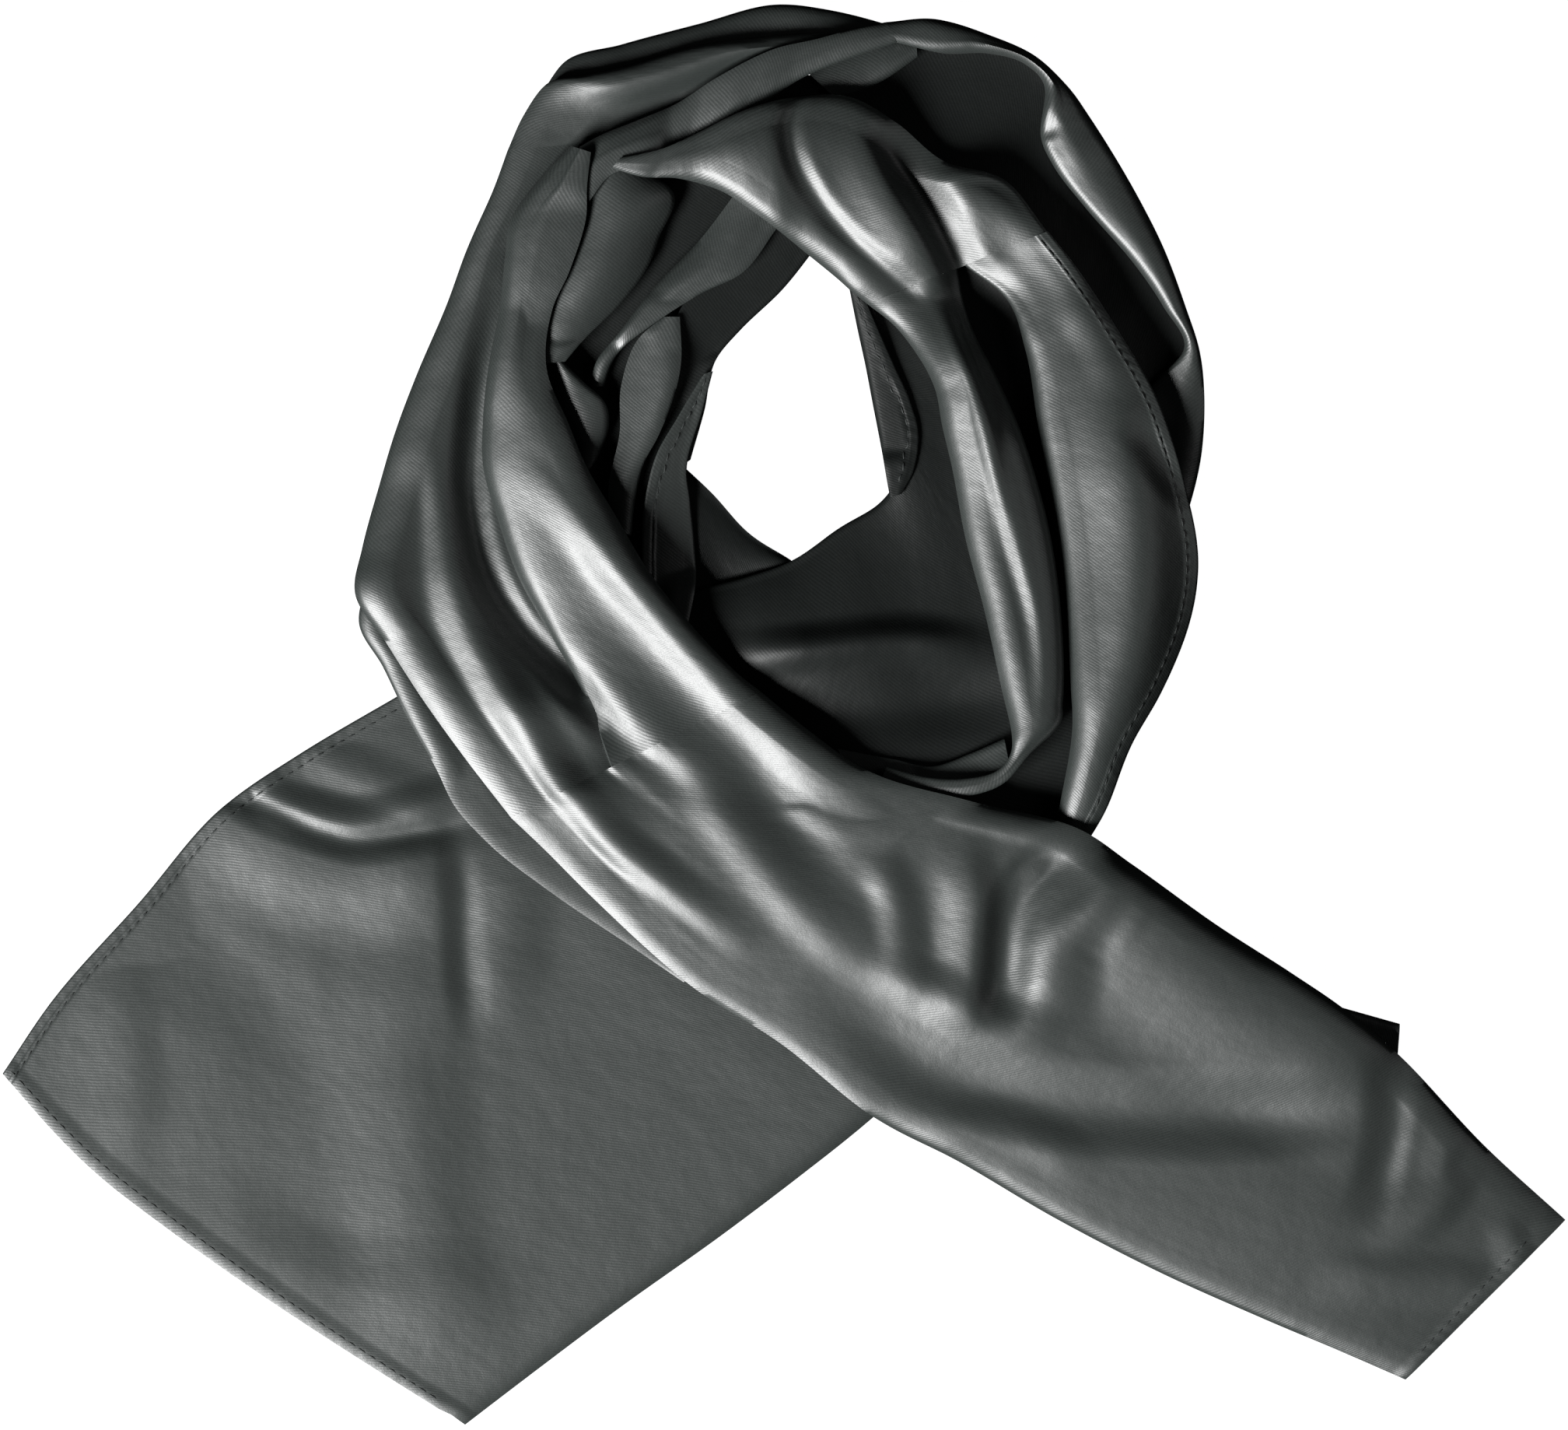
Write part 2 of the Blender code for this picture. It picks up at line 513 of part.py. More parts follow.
def height_map(top):
    """A map of the highest point of a stretch over each cell, spread by one cell on all sides."""
    fine = refined(top, steps_for(top))
    heights = np.zeros((int(2 * MAP_HALF_Y / MAP_CELL) + 1, int(2 * MAP_HALF_X / MAP_CELL) + 1))
    np.maximum.at(heights, map_place(fine[..., 0], fine[..., 1]), fine[..., 2])
    spread = heights.copy()
    for shift_y in (-1, 0, 1):
        for shift_x in (-1, 0, 1):
            spread = np.maximum(spread, np.roll(heights, (shift_y, shift_x), (0, 1)))
    return spread


def lowest_clear(x, y, ceiling):
    """The lowest height at which cloth clears what lies under it."""
    under = ceiling[map_place(x, y)]
    return np.where(under > 0, under + LAYER_GAP, 0)


def spread_back(need, steps, shape):
    """The largest need found round each point of the coarse grid."""
    padded = np.pad(need, steps, constant_values=-1)
    found = np.full(shape, -1.0)
    rows, columns = np.arange(shape[0]) * steps, np.arange(shape[1]) * steps
    for shift_y in range(1, 2 * steps):
        for shift_x in range(1, 2 * steps):
            found = np.maximum(found, padded[np.ix_(rows + shift_y, columns + shift_x)])
    return found


def raised_clear(grid, ceiling, wall):
    """The grid of top points, raised where its wall would touch what lies under it."""
    grid = grid.copy()
    steps = steps_for(grid)
    for _ in range(4):
        fine = refined(grid, steps)
        need = lowest_clear(fine[..., 0], fine[..., 1], ceiling) + wall - fine[..., 2]
        if need.max() <= 0:
            break
        grid[..., 2] += np.maximum(spread_back(need, steps, grid.shape[:2]), 0)
    return grid


def edge_foot(edge_line, inward, reach, lip, ceiling):
    """The height at which a turned-under edge lies, row by row."""
    shares = np.linspace(-0.1, 1, 8)
    zone = edge_line[:, None] + inward[:, None] * ((reach + lip)[:, None] * shares)[..., None]
    steps = steps_for(zone)
    fine = refined(zone, steps)
    clear = lowest_clear(fine[..., 0], fine[..., 1], ceiling).max(axis=1)
    rows = np.arange(len(edge_line)) * steps
    padded = np.pad(clear, steps)
    return np.max([padded[rows + shift] for shift in range(2 * steps + 1)], axis=0)


def section_rows(stretch):
    """The two edge lines and the three levels of a stretch, at evenly spaced rows."""
    rows = np.array(stretch.sections, float)
    middle = (rows[:, 0:2] + rows[:, 2:4]) / 2
    stops = np.concatenate([[0], np.cumsum(np.linalg.norm(np.diff(middle, axis=0), axis=1) + 0.5)])
    at = np.linspace(SEAM_GAP / 2, stops[-1] - SEAM_GAP / 2, stretch.along + 1)
    return smooth_curve(rows, stops, at)


def bowed(line, rows, share, bow):
    """The end row of a stretch, bulging outward between its two edges."""
    if not bow.depth:
        return line
    travel = rows[1, 0:2] + rows[1, 2:4] - rows[0, 0:2] - rows[0, 2:4]
    travel /= np.linalg.norm(travel)
    warped = np.where(share < bow.peak, share / bow.peak, (1 - share) / (1 - bow.peak)) * 0.5
    bulge = bow.depth * np.sin(math.pi * warped)
    fade = np.clip(1 - np.linspace(0, 1, len(rows)) / BOW_FADE, 0, 1)[:, None] ** 2
    line[..., 0:2] -= travel * (bulge * fade)[..., None]
    return line


def edge_points(edge_row, inward, top_z, foot, reach, lip, wall):
    """The turned-under edge of one row, from the end of its lip to the top: (outer points, inner points)."""
    angles = np.linspace(-math.pi / 2, math.pi / 2, ARC_STEPS + 1)
    half = (top_z - foot) / 2
    inner_reach = max(reach - wall, 0.15 * reach)
    outer, inner = [], []
    away = reach + lip
    outer.append((*(edge_row + inward * away), foot))
    inner.append((*(edge_row + inward * away), foot + wall))
    for angle in angles[:-1]:
        out = reach * (1 - math.cos(angle))
        back = reach - inner_reach * math.cos(angle)
        outer.append((*(edge_row + inward * out), foot + half * (1 + math.sin(angle))))
        inner.append((*(edge_row + inward * back), foot + half + (half - wall) * math.sin(angle)))
    return outer, inner


def edge_sizes(width, edge, other):
    """How far an edge's round and its lip reach in, row by row."""
    if edge is HEM:
        return np.zeros_like(width), np.zeros_like(width)
    reach = np.minimum(edge.reach, 0.4 * width)
    other_reach = 0 if other is HEM else np.minimum(other.reach, 0.4 * width)
    room = width - reach - other_reach - INNER_GAP
    lip = np.clip(np.minimum(edge.lip, 0.45 * room), NARROWEST_LIP * reach, None)
    return reach, lip


def stretch_grids(stretch, ceiling, wall):
    """The outer and the inner points of a stretch, row by row, in millimetres."""
    rows = section_rows(stretch)
    a_line, b_line = rows[:, 0:2], rows[:, 2:4]
    across = b_line - a_line
    width = np.linalg.norm(across, axis=1)
    inward = across / width[:, None]
    a_reach, a_lip = edge_sizes(width, stretch.a_edge, stretch.b_edge)
    b_reach, b_lip = edge_sizes(width, stretch.b_edge, stretch.a_edge)
    steps = np.linspace(0, 1, stretch.across + 1)
    share = a_reach[:, None] / width[:, None] + steps * (1 - (a_reach + b_reach) / width)[:, None]
    top = np.empty((*share.shape, 3))
    top[..., 0:2] = a_line[:, None] + share[..., None] * across[:, None]
    top = bowed(top, rows, share, stretch.bow)
    level = across_fade(share, rows[:, 4, None], rows[:, 5, None], rows[:, 6, None])
    for fold in stretch.folds:
        level = level + fold_height(top[..., 0], top[..., 1], fold)
    top[..., 2] = np.maximum(level, wall)
    sides = (("a", a_line, inward, a_reach, a_lip), ("b", b_line, -inward, b_reach, b_lip))
    feet = {}
    for side, line, way, reach, lip in sides:
        feet[side] = edge_foot(line, way, reach, lip, ceiling)
        if reach.max() > 0:
            from_edge = (share if side == "a" else 1 - share) * width[:, None]
            column = (width - a_reach - b_reach) / stretch.across
            in_zone = from_edge < (reach + lip + column)[:, None] + INNER_GAP
            least = feet[side] + 2 * wall + INNER_GAP
            top[..., 2] = np.where(in_zone, np.maximum(top[..., 2], least[:, None]), top[..., 2])
    top = raised_clear(top, ceiling, wall)
    outer, inner = [], []
    for i, row in enumerate(top):
        outer_row, inner_row = [], []
        if stretch.a_edge is not HEM:
            found = edge_points(a_line[i], inward[i], row[0, 2], feet["a"][i], a_reach[i], a_lip[i], wall)
            outer_row += found[0]
            inner_row += found[1]
        outer_row += [tuple(point) for point in row]
        under = row - (0, 0, wall)
        if stretch.solid:
            under[:, 2] = 0
        inner_row += [tuple(point) for point in under]
        if stretch.b_edge is not HEM:
            found = edge_points(b_line[i], -inward[i], row[-1, 2], feet["b"][i], b_reach[i], b_lip[i], wall)
            outer_row += found[0][::-1]
            inner_row += found[1][::-1]
        outer.append(outer_row)
        inner.append(inner_row)
    return np.array(outer), np.array(inner), top


def closed_wall(name, outer, inner, material, collection):
    """One closed mesh object through the outer and the inner grid of points."""
    cloth = bmesh.new()
    grids = []
    for grid in (outer, inner):
        grids.append([[cloth.verts.new(point) for point in row] for row in grid * MM])
    skin, lining = grids
    rows, columns = len(skin), len(skin[0])
    for i in range(rows - 1):
        for j in range(columns - 1):
            cloth.faces.new((skin[i][j], skin[i + 1][j], skin[i + 1][j + 1], skin[i][j + 1]))
            cloth.faces.new((lining[i][j], lining[i][j + 1], lining[i + 1][j + 1], lining[i + 1][j]))
    for i in range(rows - 1):
        for j in (0, columns - 1):
            cloth.faces.new((skin[i][j], lining[i][j], lining[i + 1][j], skin[i + 1][j]))
    for j in range(columns - 1):
        for i in (0, rows - 1):
            cloth.faces.new((skin[i][j], skin[i][j + 1], lining[i][j + 1], lining[i][j]))
    bmesh.ops.recalc_face_normals(cloth, faces=cloth.faces)
    mesh = bpy.data.meshes.new(name)
    cloth.to_mesh(mesh)
    cloth.free()
    mesh.shade_smooth()
    mesh.set_sharp_from_angle(angle=math.radians(60))
    mesh.materials.append(material)
    collection.objects.link(bpy.data.objects.new(name, mesh))


def satin(name):
    """The charcoal satin of one stretch."""
    material = bpy.data.materials.new(name + "_satin")
    material.use_nodes = True
    shader = material.node_tree.nodes["Principled BSDF"]
    shader.inputs["Base Color"].default_value = CLOTH_COLOUR
    shader.inputs["Roughness"].default_value = CLOTH_ROUGHNESS
    shader.inputs["Metallic"].default_value = 0.0
    return material


def main():
    for leftover in list(bpy.data.objects):
        bpy.data.objects.remove(leftover)
    collection = bpy.data.collections.new("neckerchief")
    bpy.context.scene.collection.children.link(collection)
    maps = {}
    for stretch in STRETCHES:
        under = [made for name, made in maps.items() if name not in stretch.beside]
        nothing = np.zeros((int(2 * MAP_HALF_Y / MAP_CELL) + 1, int(2 * MAP_HALF_X / MAP_CELL) + 1))
        ceiling = np.max(under, axis=0) if under else nothing
        outer, inner, top = stretch_grids(stretch, ceiling, WALL)
        maps[stretch.name] = height_map(top)
        closed_wall(stretch.name, outer, inner, satin(stretch.name), collection)


main()
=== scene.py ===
import math
from collections import namedtuple

import bmesh
import bpy
import numpy as np
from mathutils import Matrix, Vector


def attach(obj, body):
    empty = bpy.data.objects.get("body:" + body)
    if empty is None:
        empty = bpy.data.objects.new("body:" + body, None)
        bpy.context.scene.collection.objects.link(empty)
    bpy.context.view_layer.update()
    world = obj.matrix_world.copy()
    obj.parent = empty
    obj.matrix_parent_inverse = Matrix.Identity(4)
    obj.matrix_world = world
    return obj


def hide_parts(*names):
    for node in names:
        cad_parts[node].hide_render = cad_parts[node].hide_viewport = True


# A satin neckerchief, one long strip wound once into a neck loop and laid flat with two crossing tails.
# X points to the end of the front tail, Y to the top of the loop and Z up from the surface that it lies on.
# The tables are in millimetres and follow those of the solids, with some rows moved so that layers meet.
# The objects are in metres.

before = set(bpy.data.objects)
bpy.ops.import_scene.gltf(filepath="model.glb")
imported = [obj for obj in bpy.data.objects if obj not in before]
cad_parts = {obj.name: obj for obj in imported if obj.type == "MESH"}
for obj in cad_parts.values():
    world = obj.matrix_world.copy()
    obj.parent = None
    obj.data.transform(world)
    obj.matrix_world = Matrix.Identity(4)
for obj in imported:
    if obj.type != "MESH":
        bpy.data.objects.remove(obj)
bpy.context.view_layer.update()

MM = 0.001
WALL = 0.45
LAYER_GAP = 0.25
INNER_GAP = 0.3
SECTION_STEPS = 14

FOLD_TIP = 0.6
FOLD_BLEND = 0.35
FOLD_PAST = 0.12
FOLD_FADE = 0.28

MAP_CELL = 0.7
MAP_HALF_X = 240
MAP_HALF_Y = 220
CELL_ALONG = 1.15
CELL_ACROSS = 1.1
ARC_STEPS = 7
SHARP_ANGLE = 55
LIFT_SLOPE = 0.45
LIFT_SPREADS = 40
LIFT_SOFTENS = 30
EDGE_FADE = 0.3
JOIN_REACH = 32
JOIN_SLOPE_FADE = 12
JOIN_SOFTENS = 7
JOIN_COLUMNS = 7
JOIN_RIM = 2.5

HEM_WIDTH = 3.6
HEM_SEAM = HEM_WIDTH - 0.55
HEM_COLUMNS = 12
HEM_ZONE = 5.2
HEM_RISE = 0.34
GROOVE_DEPTH = 0.26
GROOVE_WIDTH = 0.35
PUCKER_HEIGHT = 0.11
PUCKER_SLANT = 0.55
STITCH_PITCH = 3.5
STITCH_LENGTH = 2.5
STITCH_RADIUS = 0.17
STITCH_RISE = 0.12
STITCH_SINK = 0.04
STITCH_SIDES = 6
STITCH_RINGS = 5

Section = namedtuple("Section", "a_x a_y b_x b_y a_level mid_level b_level")
Fold = namedtuple("Fold", "path left_width right_width height")
Edge = namedtuple("Edge", "reach lip start_share end_share", defaults=(1.0, 1.0))
Bow = namedtuple("Bow", "depth peak")

PLAIN = None
NO_BOW = Bow(0.0, 0.5)
BOW_FADE = 0.2

# A stretch flagged for it gets a darker, duller copy of the satin: painted shade standing in for the shadow
# deep in the loop.
# One that is back_up shows the dull back of the satin.
Stretch = namedtuple(
    "Stretch",
    "name sections a_edge b_edge folds beside joins bow solid stitched held back_up",
    defaults=((), (), (), NO_BOW, False, (), "laid", False),
)

SATIN_DARK = (0.008, 0.0105, 0.0098, 1.0)
SATIN_LIGHT = (0.036, 0.0425, 0.040, 1.0)
SATIN_ROUGHNESS = 0.46
SATIN_SPECULAR = 0.9
# A darker, duller copy of the satin: painted shade for the stretches in the loop's hollows.
SHADED_SATIN_DARK = (0.003, 0.0037, 0.0035, 1.0)
SHADED_SATIN_LIGHT = (0.012, 0.0142, 0.0135, 1.0)
SHADED_SATIN_ROUGHNESS = 0.5
SHADED_SATIN_SPECULAR = 0.25
WEAVE_PITCH = 0.8
WEAVE_ANGLE = 35.0
WAVE_RATE = 20
RIB_SHARE = 0.3
GRAIN_SCALE = 1500.0
CLOUD_SCALE = 55.0
RIB_BUMP = 0.00015
CLOUD_BUMP = 0.0012
THREAD_ROUGHNESS = 0.7
THREAD_DARK = (0.012, 0.014, 0.014, 1.0)
THREAD_LIGHT = (0.045, 0.050, 0.048, 1.0)
FLOOR_TONE = (0.1, 0.1, 0.1, 1.0)
FLOOR_ROUGHNESS = 0.9
FLOOR_REACH = 6.0
FLOOR_DROP = 0.0002

KEY_PLACE = (-1.45, -1.25, 1.4)
KEY_SIZE = (0.9, 0.9)
KEY_POWER = 150.0
RIM_PLACE = (1.6, 0.3, 1.2)
RIM_SIZE = (0.8, 1.2)
RIM_POWER = 2.0
WORLD_TONE = (0.85, 0.95, 0.92, 1.0)
WORLD_STRENGTH = 0.004
CAMERA_HEIGHT = 3.0
CAMERA_SHIFT = 0.0002
SENSOR_WIDTH = 36.0
FRAME_WIDTH = 0.4536

BACK_TAIL = (
    Section(-226, -103.5, -92, -205, 0, 3, 4.5),
    Section(-212.5, -83.5, -75, -192, 0, 3.5, 4.5),
    Section(-186.5, -54, -47, -171, 0, 4, 5),
    Section(-163, -27, -17.5, -150, 0, 4, 5),
    Section(-140, -11, 5, -133, 0, 4, 5),
    Section(-112, 5.5, 25, -117, 0, 4, 5),
    Section(-94, 16, 43, -101, 0, 2, 4.5),
)

FRONT_TAIL_UNDER = (
    Section(142, -79, 124, -112.5, 4, 2, 0),
    Section(162, -84.5, 144.5, -117, 4, 2, 0),
    Section(178, -89, 176, -119, 4, 2, 0),
)

HIDDEN_LAYERS = (
    Section(-68, -1, -38, 13.5, 7, 8, 7),
    Section(-47, -20, -15.5, -2, 7, 9, 7),
    Section(-24.5, -40.5, 7, -20, 7, 9, 7),
    Section(-2, -58.5, 27.5, -31.5, 7, 9, 7),
    Section(20.5, -77.5, 50, -37, 7, 8, 7),
    Section(43, -95.5, 72.5, -45, 6, 7, 6),
)

RIGHT_HOLLOW = (
    Section(-22, 178, -20, 164, 6, 6, 6),
    Section(-4, 184, -4, 171, 4, 5, 6),
    Section(15, 186, 11.5, 170, 3, 5, 7),
    Section(32, 191, 23, 166.5, 2, 4, 8),
    Section(50, 196, 38.5, 155, 2, 4, 9),
    Section(70, 191, 54.5, 148.5, 2, 4, 9),
    Section(82.5, 178, 65.5, 139.5, 2, 4, 9),
    Section(88, 160, 76, 128, 2, 4, 9),
    Section(98.5, 142, 83.5, 117, 2, 4, 9),
    Section(110.5, 124, 90.5, 106, 2, 4, 8),
    Section(117.5, 108, 96, 94.5, 2, 3, 6),
    Section(117.5, 94.5, 99.5, 85.5, 2, 2, 4),
)

OPENING_CORNER = (
    Section(-30, 73, -29, 34, 0, 2, 0),
    Section(-20.5, 64, -20.5, 35, 0, 2, 0),
    Section(-11.5, 54, -11.5, 37, 0, 2, 0),
    Section(2, 45, 5, 40.5, 0, 2, 0),
)

BOTTOM_INNER_BAND = (
    Section(-35.5, 30.5, -33, 20, 5, 7, 5),
    Section(-25.5, 36, -23, 9, 4, 8, 4),
    Section(-11.5, 40, -7.5, -3.5, 4, 10, 3),
    Section(2.5, 45, 8.5, -14.5, 3, 11, 3),
    Section(15.5, 54, 28, -26, 3, 10, 3),
    Section(27, 61, 54, -35, 4, 7, 2),
    Section(33, 69, 84, -27, 6, 5, 1.5),
    Section(34.5, 80, 86, 20, 6, 4.5, 1.5),
    Section(33, 92, 84, 62, 5, 4, 1.5),
    Section(27, 106, 82, 102, 4, 3.5, 1.5),
    Section(22.5, 118.5, 74, 128, 3, 3, 1.5),
    Section(16, 136, 69, 148, 3, 3, 1.5),
)

INNER_GROUND = (
    Section(-66, 168, -8, 166, 4, 4, 4),
    Section(-72, 154, -13, 154, 3, 4, 2),
    Section(-75, 133, -20, 137, 3, 4, 2),
    Section(-77, 112.5, -26.5, 112.5, 3, 4, 2),
    Section(-76, 94.5, -29, 94.5, 3, 4, 2),
    Section(-70, 79, -33.5, 79, 3, 4, 2),
    Section(-62, 63, -38, 63, 3, 3, 2),
    Section(-54, 45, -35.5, 45, 3, 3, 2),
)

OPENING_RIM = (
    Section(-13, 148, 9.5, 135.5, 8, 6, 2),
    Section(-23, 128, -1, 122.5, 8, 5, 2),
    Section(-31, 115, -12.5, 111.5, 8, 5, 2),
    Section(-35.5, 101, -19.5, 103, 7, 4, 2),
    Section(-40, 81, -23, 88, 5, 3, 2),
    Section(-42.5, 63, -27, 74, 4, 3, 2),
)

OPENING_HEM_STRIP = (
    Section(-23.5, 98.5, -20.5, 99.5, 5, 5, 4),
    Section(-30.5, 86.5, -23.5, 88, 6, 5, 4),
    Section(-37.5, 73.5, -28, 72, 7, 6, 4),
    Section(-40.5, 60, -27, 61.5, 7, 6, 4),
    Section(-41, 51.5, -26, 51.5, 7, 6, 4),
    Section(-41, 39.5, -25.5, 38, 7, 6, 4),
    Section(-40, 29, -27.5, 27, 6, 5, 4),
)

INNER_FLAP = (
    Section(18.5, 125, 23.5, 120.5, 6, 6, 6),
    Section(21, 112.5, 27, 112.5, 5, 6, 6),
    Section(23.5, 101, 32, 101, 5, 6, 6),
    Section(25.5, 90.5, 36.5, 91, 5, 6, 6),
    Section(28, 77.5, 39, 80, 5, 6, 6),
    Section(29.5, 68.5, 37, 69.5, 5, 6, 6),
    Section(30.5, 63, 34, 64, 5, 6, 6),
)

INNER_FOLD_CONE = (
    Section(-53, 159, -47, 160, 13, 13, 13),
    Section(-59, 146, -32, 151, 11, 15, 9),
    Section(-63, 135, -36, 138, 11, 15, 8),
    Section(-67, 127, -39, 130, 11, 15, 8),
    Section(-71, 117, -47, 119, 11, 14, 9),
    Section(-73, 108, -58, 108, 11, 13, 11),
    Section(-73, 101, -63, 102, 11, 11, 11),
)

INNER_FOLD_WING = (
    Section(-13, 152, -2, 140.5, 9, 10, 8),
    Section(-24.5, 137, -11.5, 128, 8, 11, 8),
    Section(-37.5, 123.5, -25, 121, 8, 11, 8),
    Section(-43.5, 116, -36, 114, 8, 10, 8),
    Section(-48, 110, -46, 106.5, 8, 9, 8),
    Section(-54, 102.5, -49.5, 102, 8, 9, 8),
    Section(-56, 95, -52, 95, 7, 8, 7),
)

INNER_FOLD_LEAF = (
    Section(-35, 115, -30, 115, 8, 8, 8),
    Section(-42.5, 108, -29.5, 103.5, 8, 9, 10),
    Section(-47, 95, -31.5, 92.5, 8, 9, 11),
    Section(-47.5, 81, -36, 81, 8, 9, 10),
    Section(-50.5, 67.5, -41, 71, 8, 9, 9),
    Section(-50.5, 61.5, -43, 61.5, 8, 9, 9),
    Section(-49, 54, -44, 52, 7, 8, 7),
)

INNER_FOLD_CUFF = (
    Section(-68, 104.5, -64, 102.5, 11, 12, 12),
    Section(-66, 97, -57.5, 96, 10, 12, 11),
    Section(-64.5, 90, -52, 91, 10, 12, 10),
    Section(-60.5, 79, -50.5, 83, 9, 11, 9),
    Section(-57, 70, -54, 74, 9, 9, 9),
)

ROLL_CUP = (
    Section(15.5, -9.5, 18.5, -16, 8, 7, 7),
    Section(31.5, -12.5, 32, -19, 8, 8, 9),
    Section(43, -14.5, 44.5, -20.5, 8, 9, 10),
    Section(54.5, -10.5, 55.5, -20, 8, 9, 11),
    Section(63.5, -6.5, 65, -14.5, 9, 10, 12),
)

RIGHT_OUTER_BAND = (
    Section(29.5, 200, 32.5, 194, 11, 12, 12),
    Section(43.5, 201, 45.5, 191, 10, 12, 13),
    Section(59, 196.5, 59, 191, 9, 12, 13),
    Section(73, 190, 69.5, 188, 9, 12, 13),
    Section(81.5, 182, 75, 182, 9, 12, 13),
    Section(88.5, 172.5, 74, 167.5, 8, 11, 10),
    Section(95.5, 161.5, 77.5, 159, 8, 11, 9),
    Section(103.5, 147.5, 87, 146.5, 8, 11, 9),
    Section(110.5, 133, 100.5, 131, 8, 11, 9),
    Section(116, 118, 109.5, 118, 8, 10, 9),
    Section(120, 105.5, 115.5, 106, 8, 9, 8),
    Section(121.5, 94.5, 106, 95, 7, 6, 5),
    Section(121, 77, 104, 81, 7, 5, 4),
    Section(117.5, 61, 106, 63, 7, 5, 4),
    Section(113.5, 49.5, 105, 49.5, 5, 4, 4),
)

TOP_PLEAT_OUTER = (
    Section(-69.5, 181, -64, 177, 4.5, 4, 4),
    Section(-63.5, 189, -56, 179, 5, 5, 4),
    Section(-47, 194, -43.5, 181, 5, 6, 4),
    Section(-24.5, 200, -23, 187, 5, 6, 4),
    Section(-3, 205.5, -4, 189, 5, 6, 4),
    Section(13, 204, 13, 190, 4.5, 6, 4),
    Section(29, 200, 27.5, 191, 4.5, 5, 4),
    Section(37.5, 197, 35.5, 190, 4.5, 4, 4),
)

TOP_PLEAT_MIDDLE = (
    Section(-80, 163, -59, 165, 9, 9, 6),
    Section(-75.5, 173, -49, 166, 9, 10, 5),
    Section(-69, 182, -40, 167, 9, 10, 5),
    Section(-57.5, 184.5, -28, 174, 9, 11, 5),
    Section(-46, 187, -17, 179.5, 9, 11, 5),
    Section(-25, 193, -1, 186.5, 9, 10, 6),
    Section(-6.5, 195.5, 12, 190, 9, 10, 7),
    Section(11.5, 197, 27, 193, 8.5, 9, 8),
)

TOP_PLEAT_INNER = (
    Section(-59, 164, -56, 148, 11, 11, 8),
    Section(-52.5, 167.5, -50.5, 155, 12, 13, 10),
    Section(-42.5, 171.5, -43.5, 157.5, 12, 13, 10),
    Section(-31, 176.5, -32, 158.5, 12, 12, 9),
    Section(-20, 183.5, -20, 164, 12, 12, 9),
    Section(-3, 192, -7.5, 175, 12, 13, 11),
    Section(9.5, 195, 5, 183.5, 12, 13, 12),
    Section(20.5, 198, 19.5, 189.5, 12, 13, 12),
    Section(29.5, 200, 32.5, 194, 11, 12, 12),
)

TOP_TONGUE = (
    Section(7, 185.5, 15, 178, 6, 7, 7),
    Section(19.5, 191, 24, 181, 6, 8, 8),
    Section(31.5, 196, 31.5, 185, 6, 8, 8),
    Section(38, 196.5, 38.5, 190, 6, 7, 8),
)

RIGHT_PANEL = (
    Section(52, 130, 76, 139.5, 7, 14, 12),
    Section(63.5, 121, 84, 129.5, 10, 14, 12),
    Section(69.5, 105.5, 96, 111.5, 12, 14, 12),
    Section(73, 84, 108.5, 89, 13, 13, 12),
    Section(76, 68.5, 116, 65, 13, 13, 11),
    Section(80, 42, 119.5, 41.5, 13, 13, 8),
    Section(81.5, 25.5, 117, 26.5, 13, 13, 7),
    Section(82.5, 8, 108.5, 6, 13, 12, 7),
    Section(83, -3, 101, -7, 12, 12, 7),
    Section(79.5, -25.5, 92, -29, 10, 11, 8),
    Section(77, -38, 85, -40.5, 8, 8, 7),
)

RIGHT_TOP = (
    Section(-49.5, 157.5, -47, 160.5, 15, 15, 15),
    Section(-41, 155, -35.5, 163, 15, 16, 15),
    Section(-30.5, 154.5, -24.5, 168, 15, 17, 14),
    Section(-18.5, 151, -11, 174.5, 15, 18, 13),
    Section(-8.5, 144.5, 5, 178.5, 15, 18, 13),
    Section(-1, 139, 18.5, 178.5, 15, 18, 13),
    Section(6.5, 133, 32.5, 171, 15, 17, 14),
    Section(14.5, 126.5, 47, 159.5, 15, 17, 13),
    Section(19.5, 122, 63.5, 154.5, 15, 16, 12),
    Section(24, 118.5, 76, 139.5, 15, 12, 12),
)

RIGHT_ROLL = (
    Section(24, 118.5, 50, 129, 15, 17, 7),
    Section(31.5, 112.5, 52, 119, 15, 18, 9),
    Section(39.5, 102, 56, 108, 15, 19, 12),
    Section(43, 95, 61, 98.5, 15, 19, 13),
    Section(45.5, 83, 68.5, 81.5, 15, 20, 14),
    Section(48, 72.5, 72, 71, 15, 20, 14),
    Section(52, 51.5, 77, 51.5, 15, 20, 14),
    Section(57.5, 30.5, 80, 29.5, 15, 19, 14),
    Section(62.5, 8, 80.5, 4, 15, 18, 13),
    Section(65.5, -5.5, 79, -3.5, 14, 17, 12),
    Section(65, -11.5, 71, -11, 13, 15, 12),
    Section(61, -16, 64, -19, 13, 14, 12),
    Section(52, -18, 54, -23, 12, 14, 12),
    Section(41, -17.5, 41, -23, 12, 13, 12),
    Section(29.5, -14.5, 27.5, -20.5, 11, 12, 11),
)

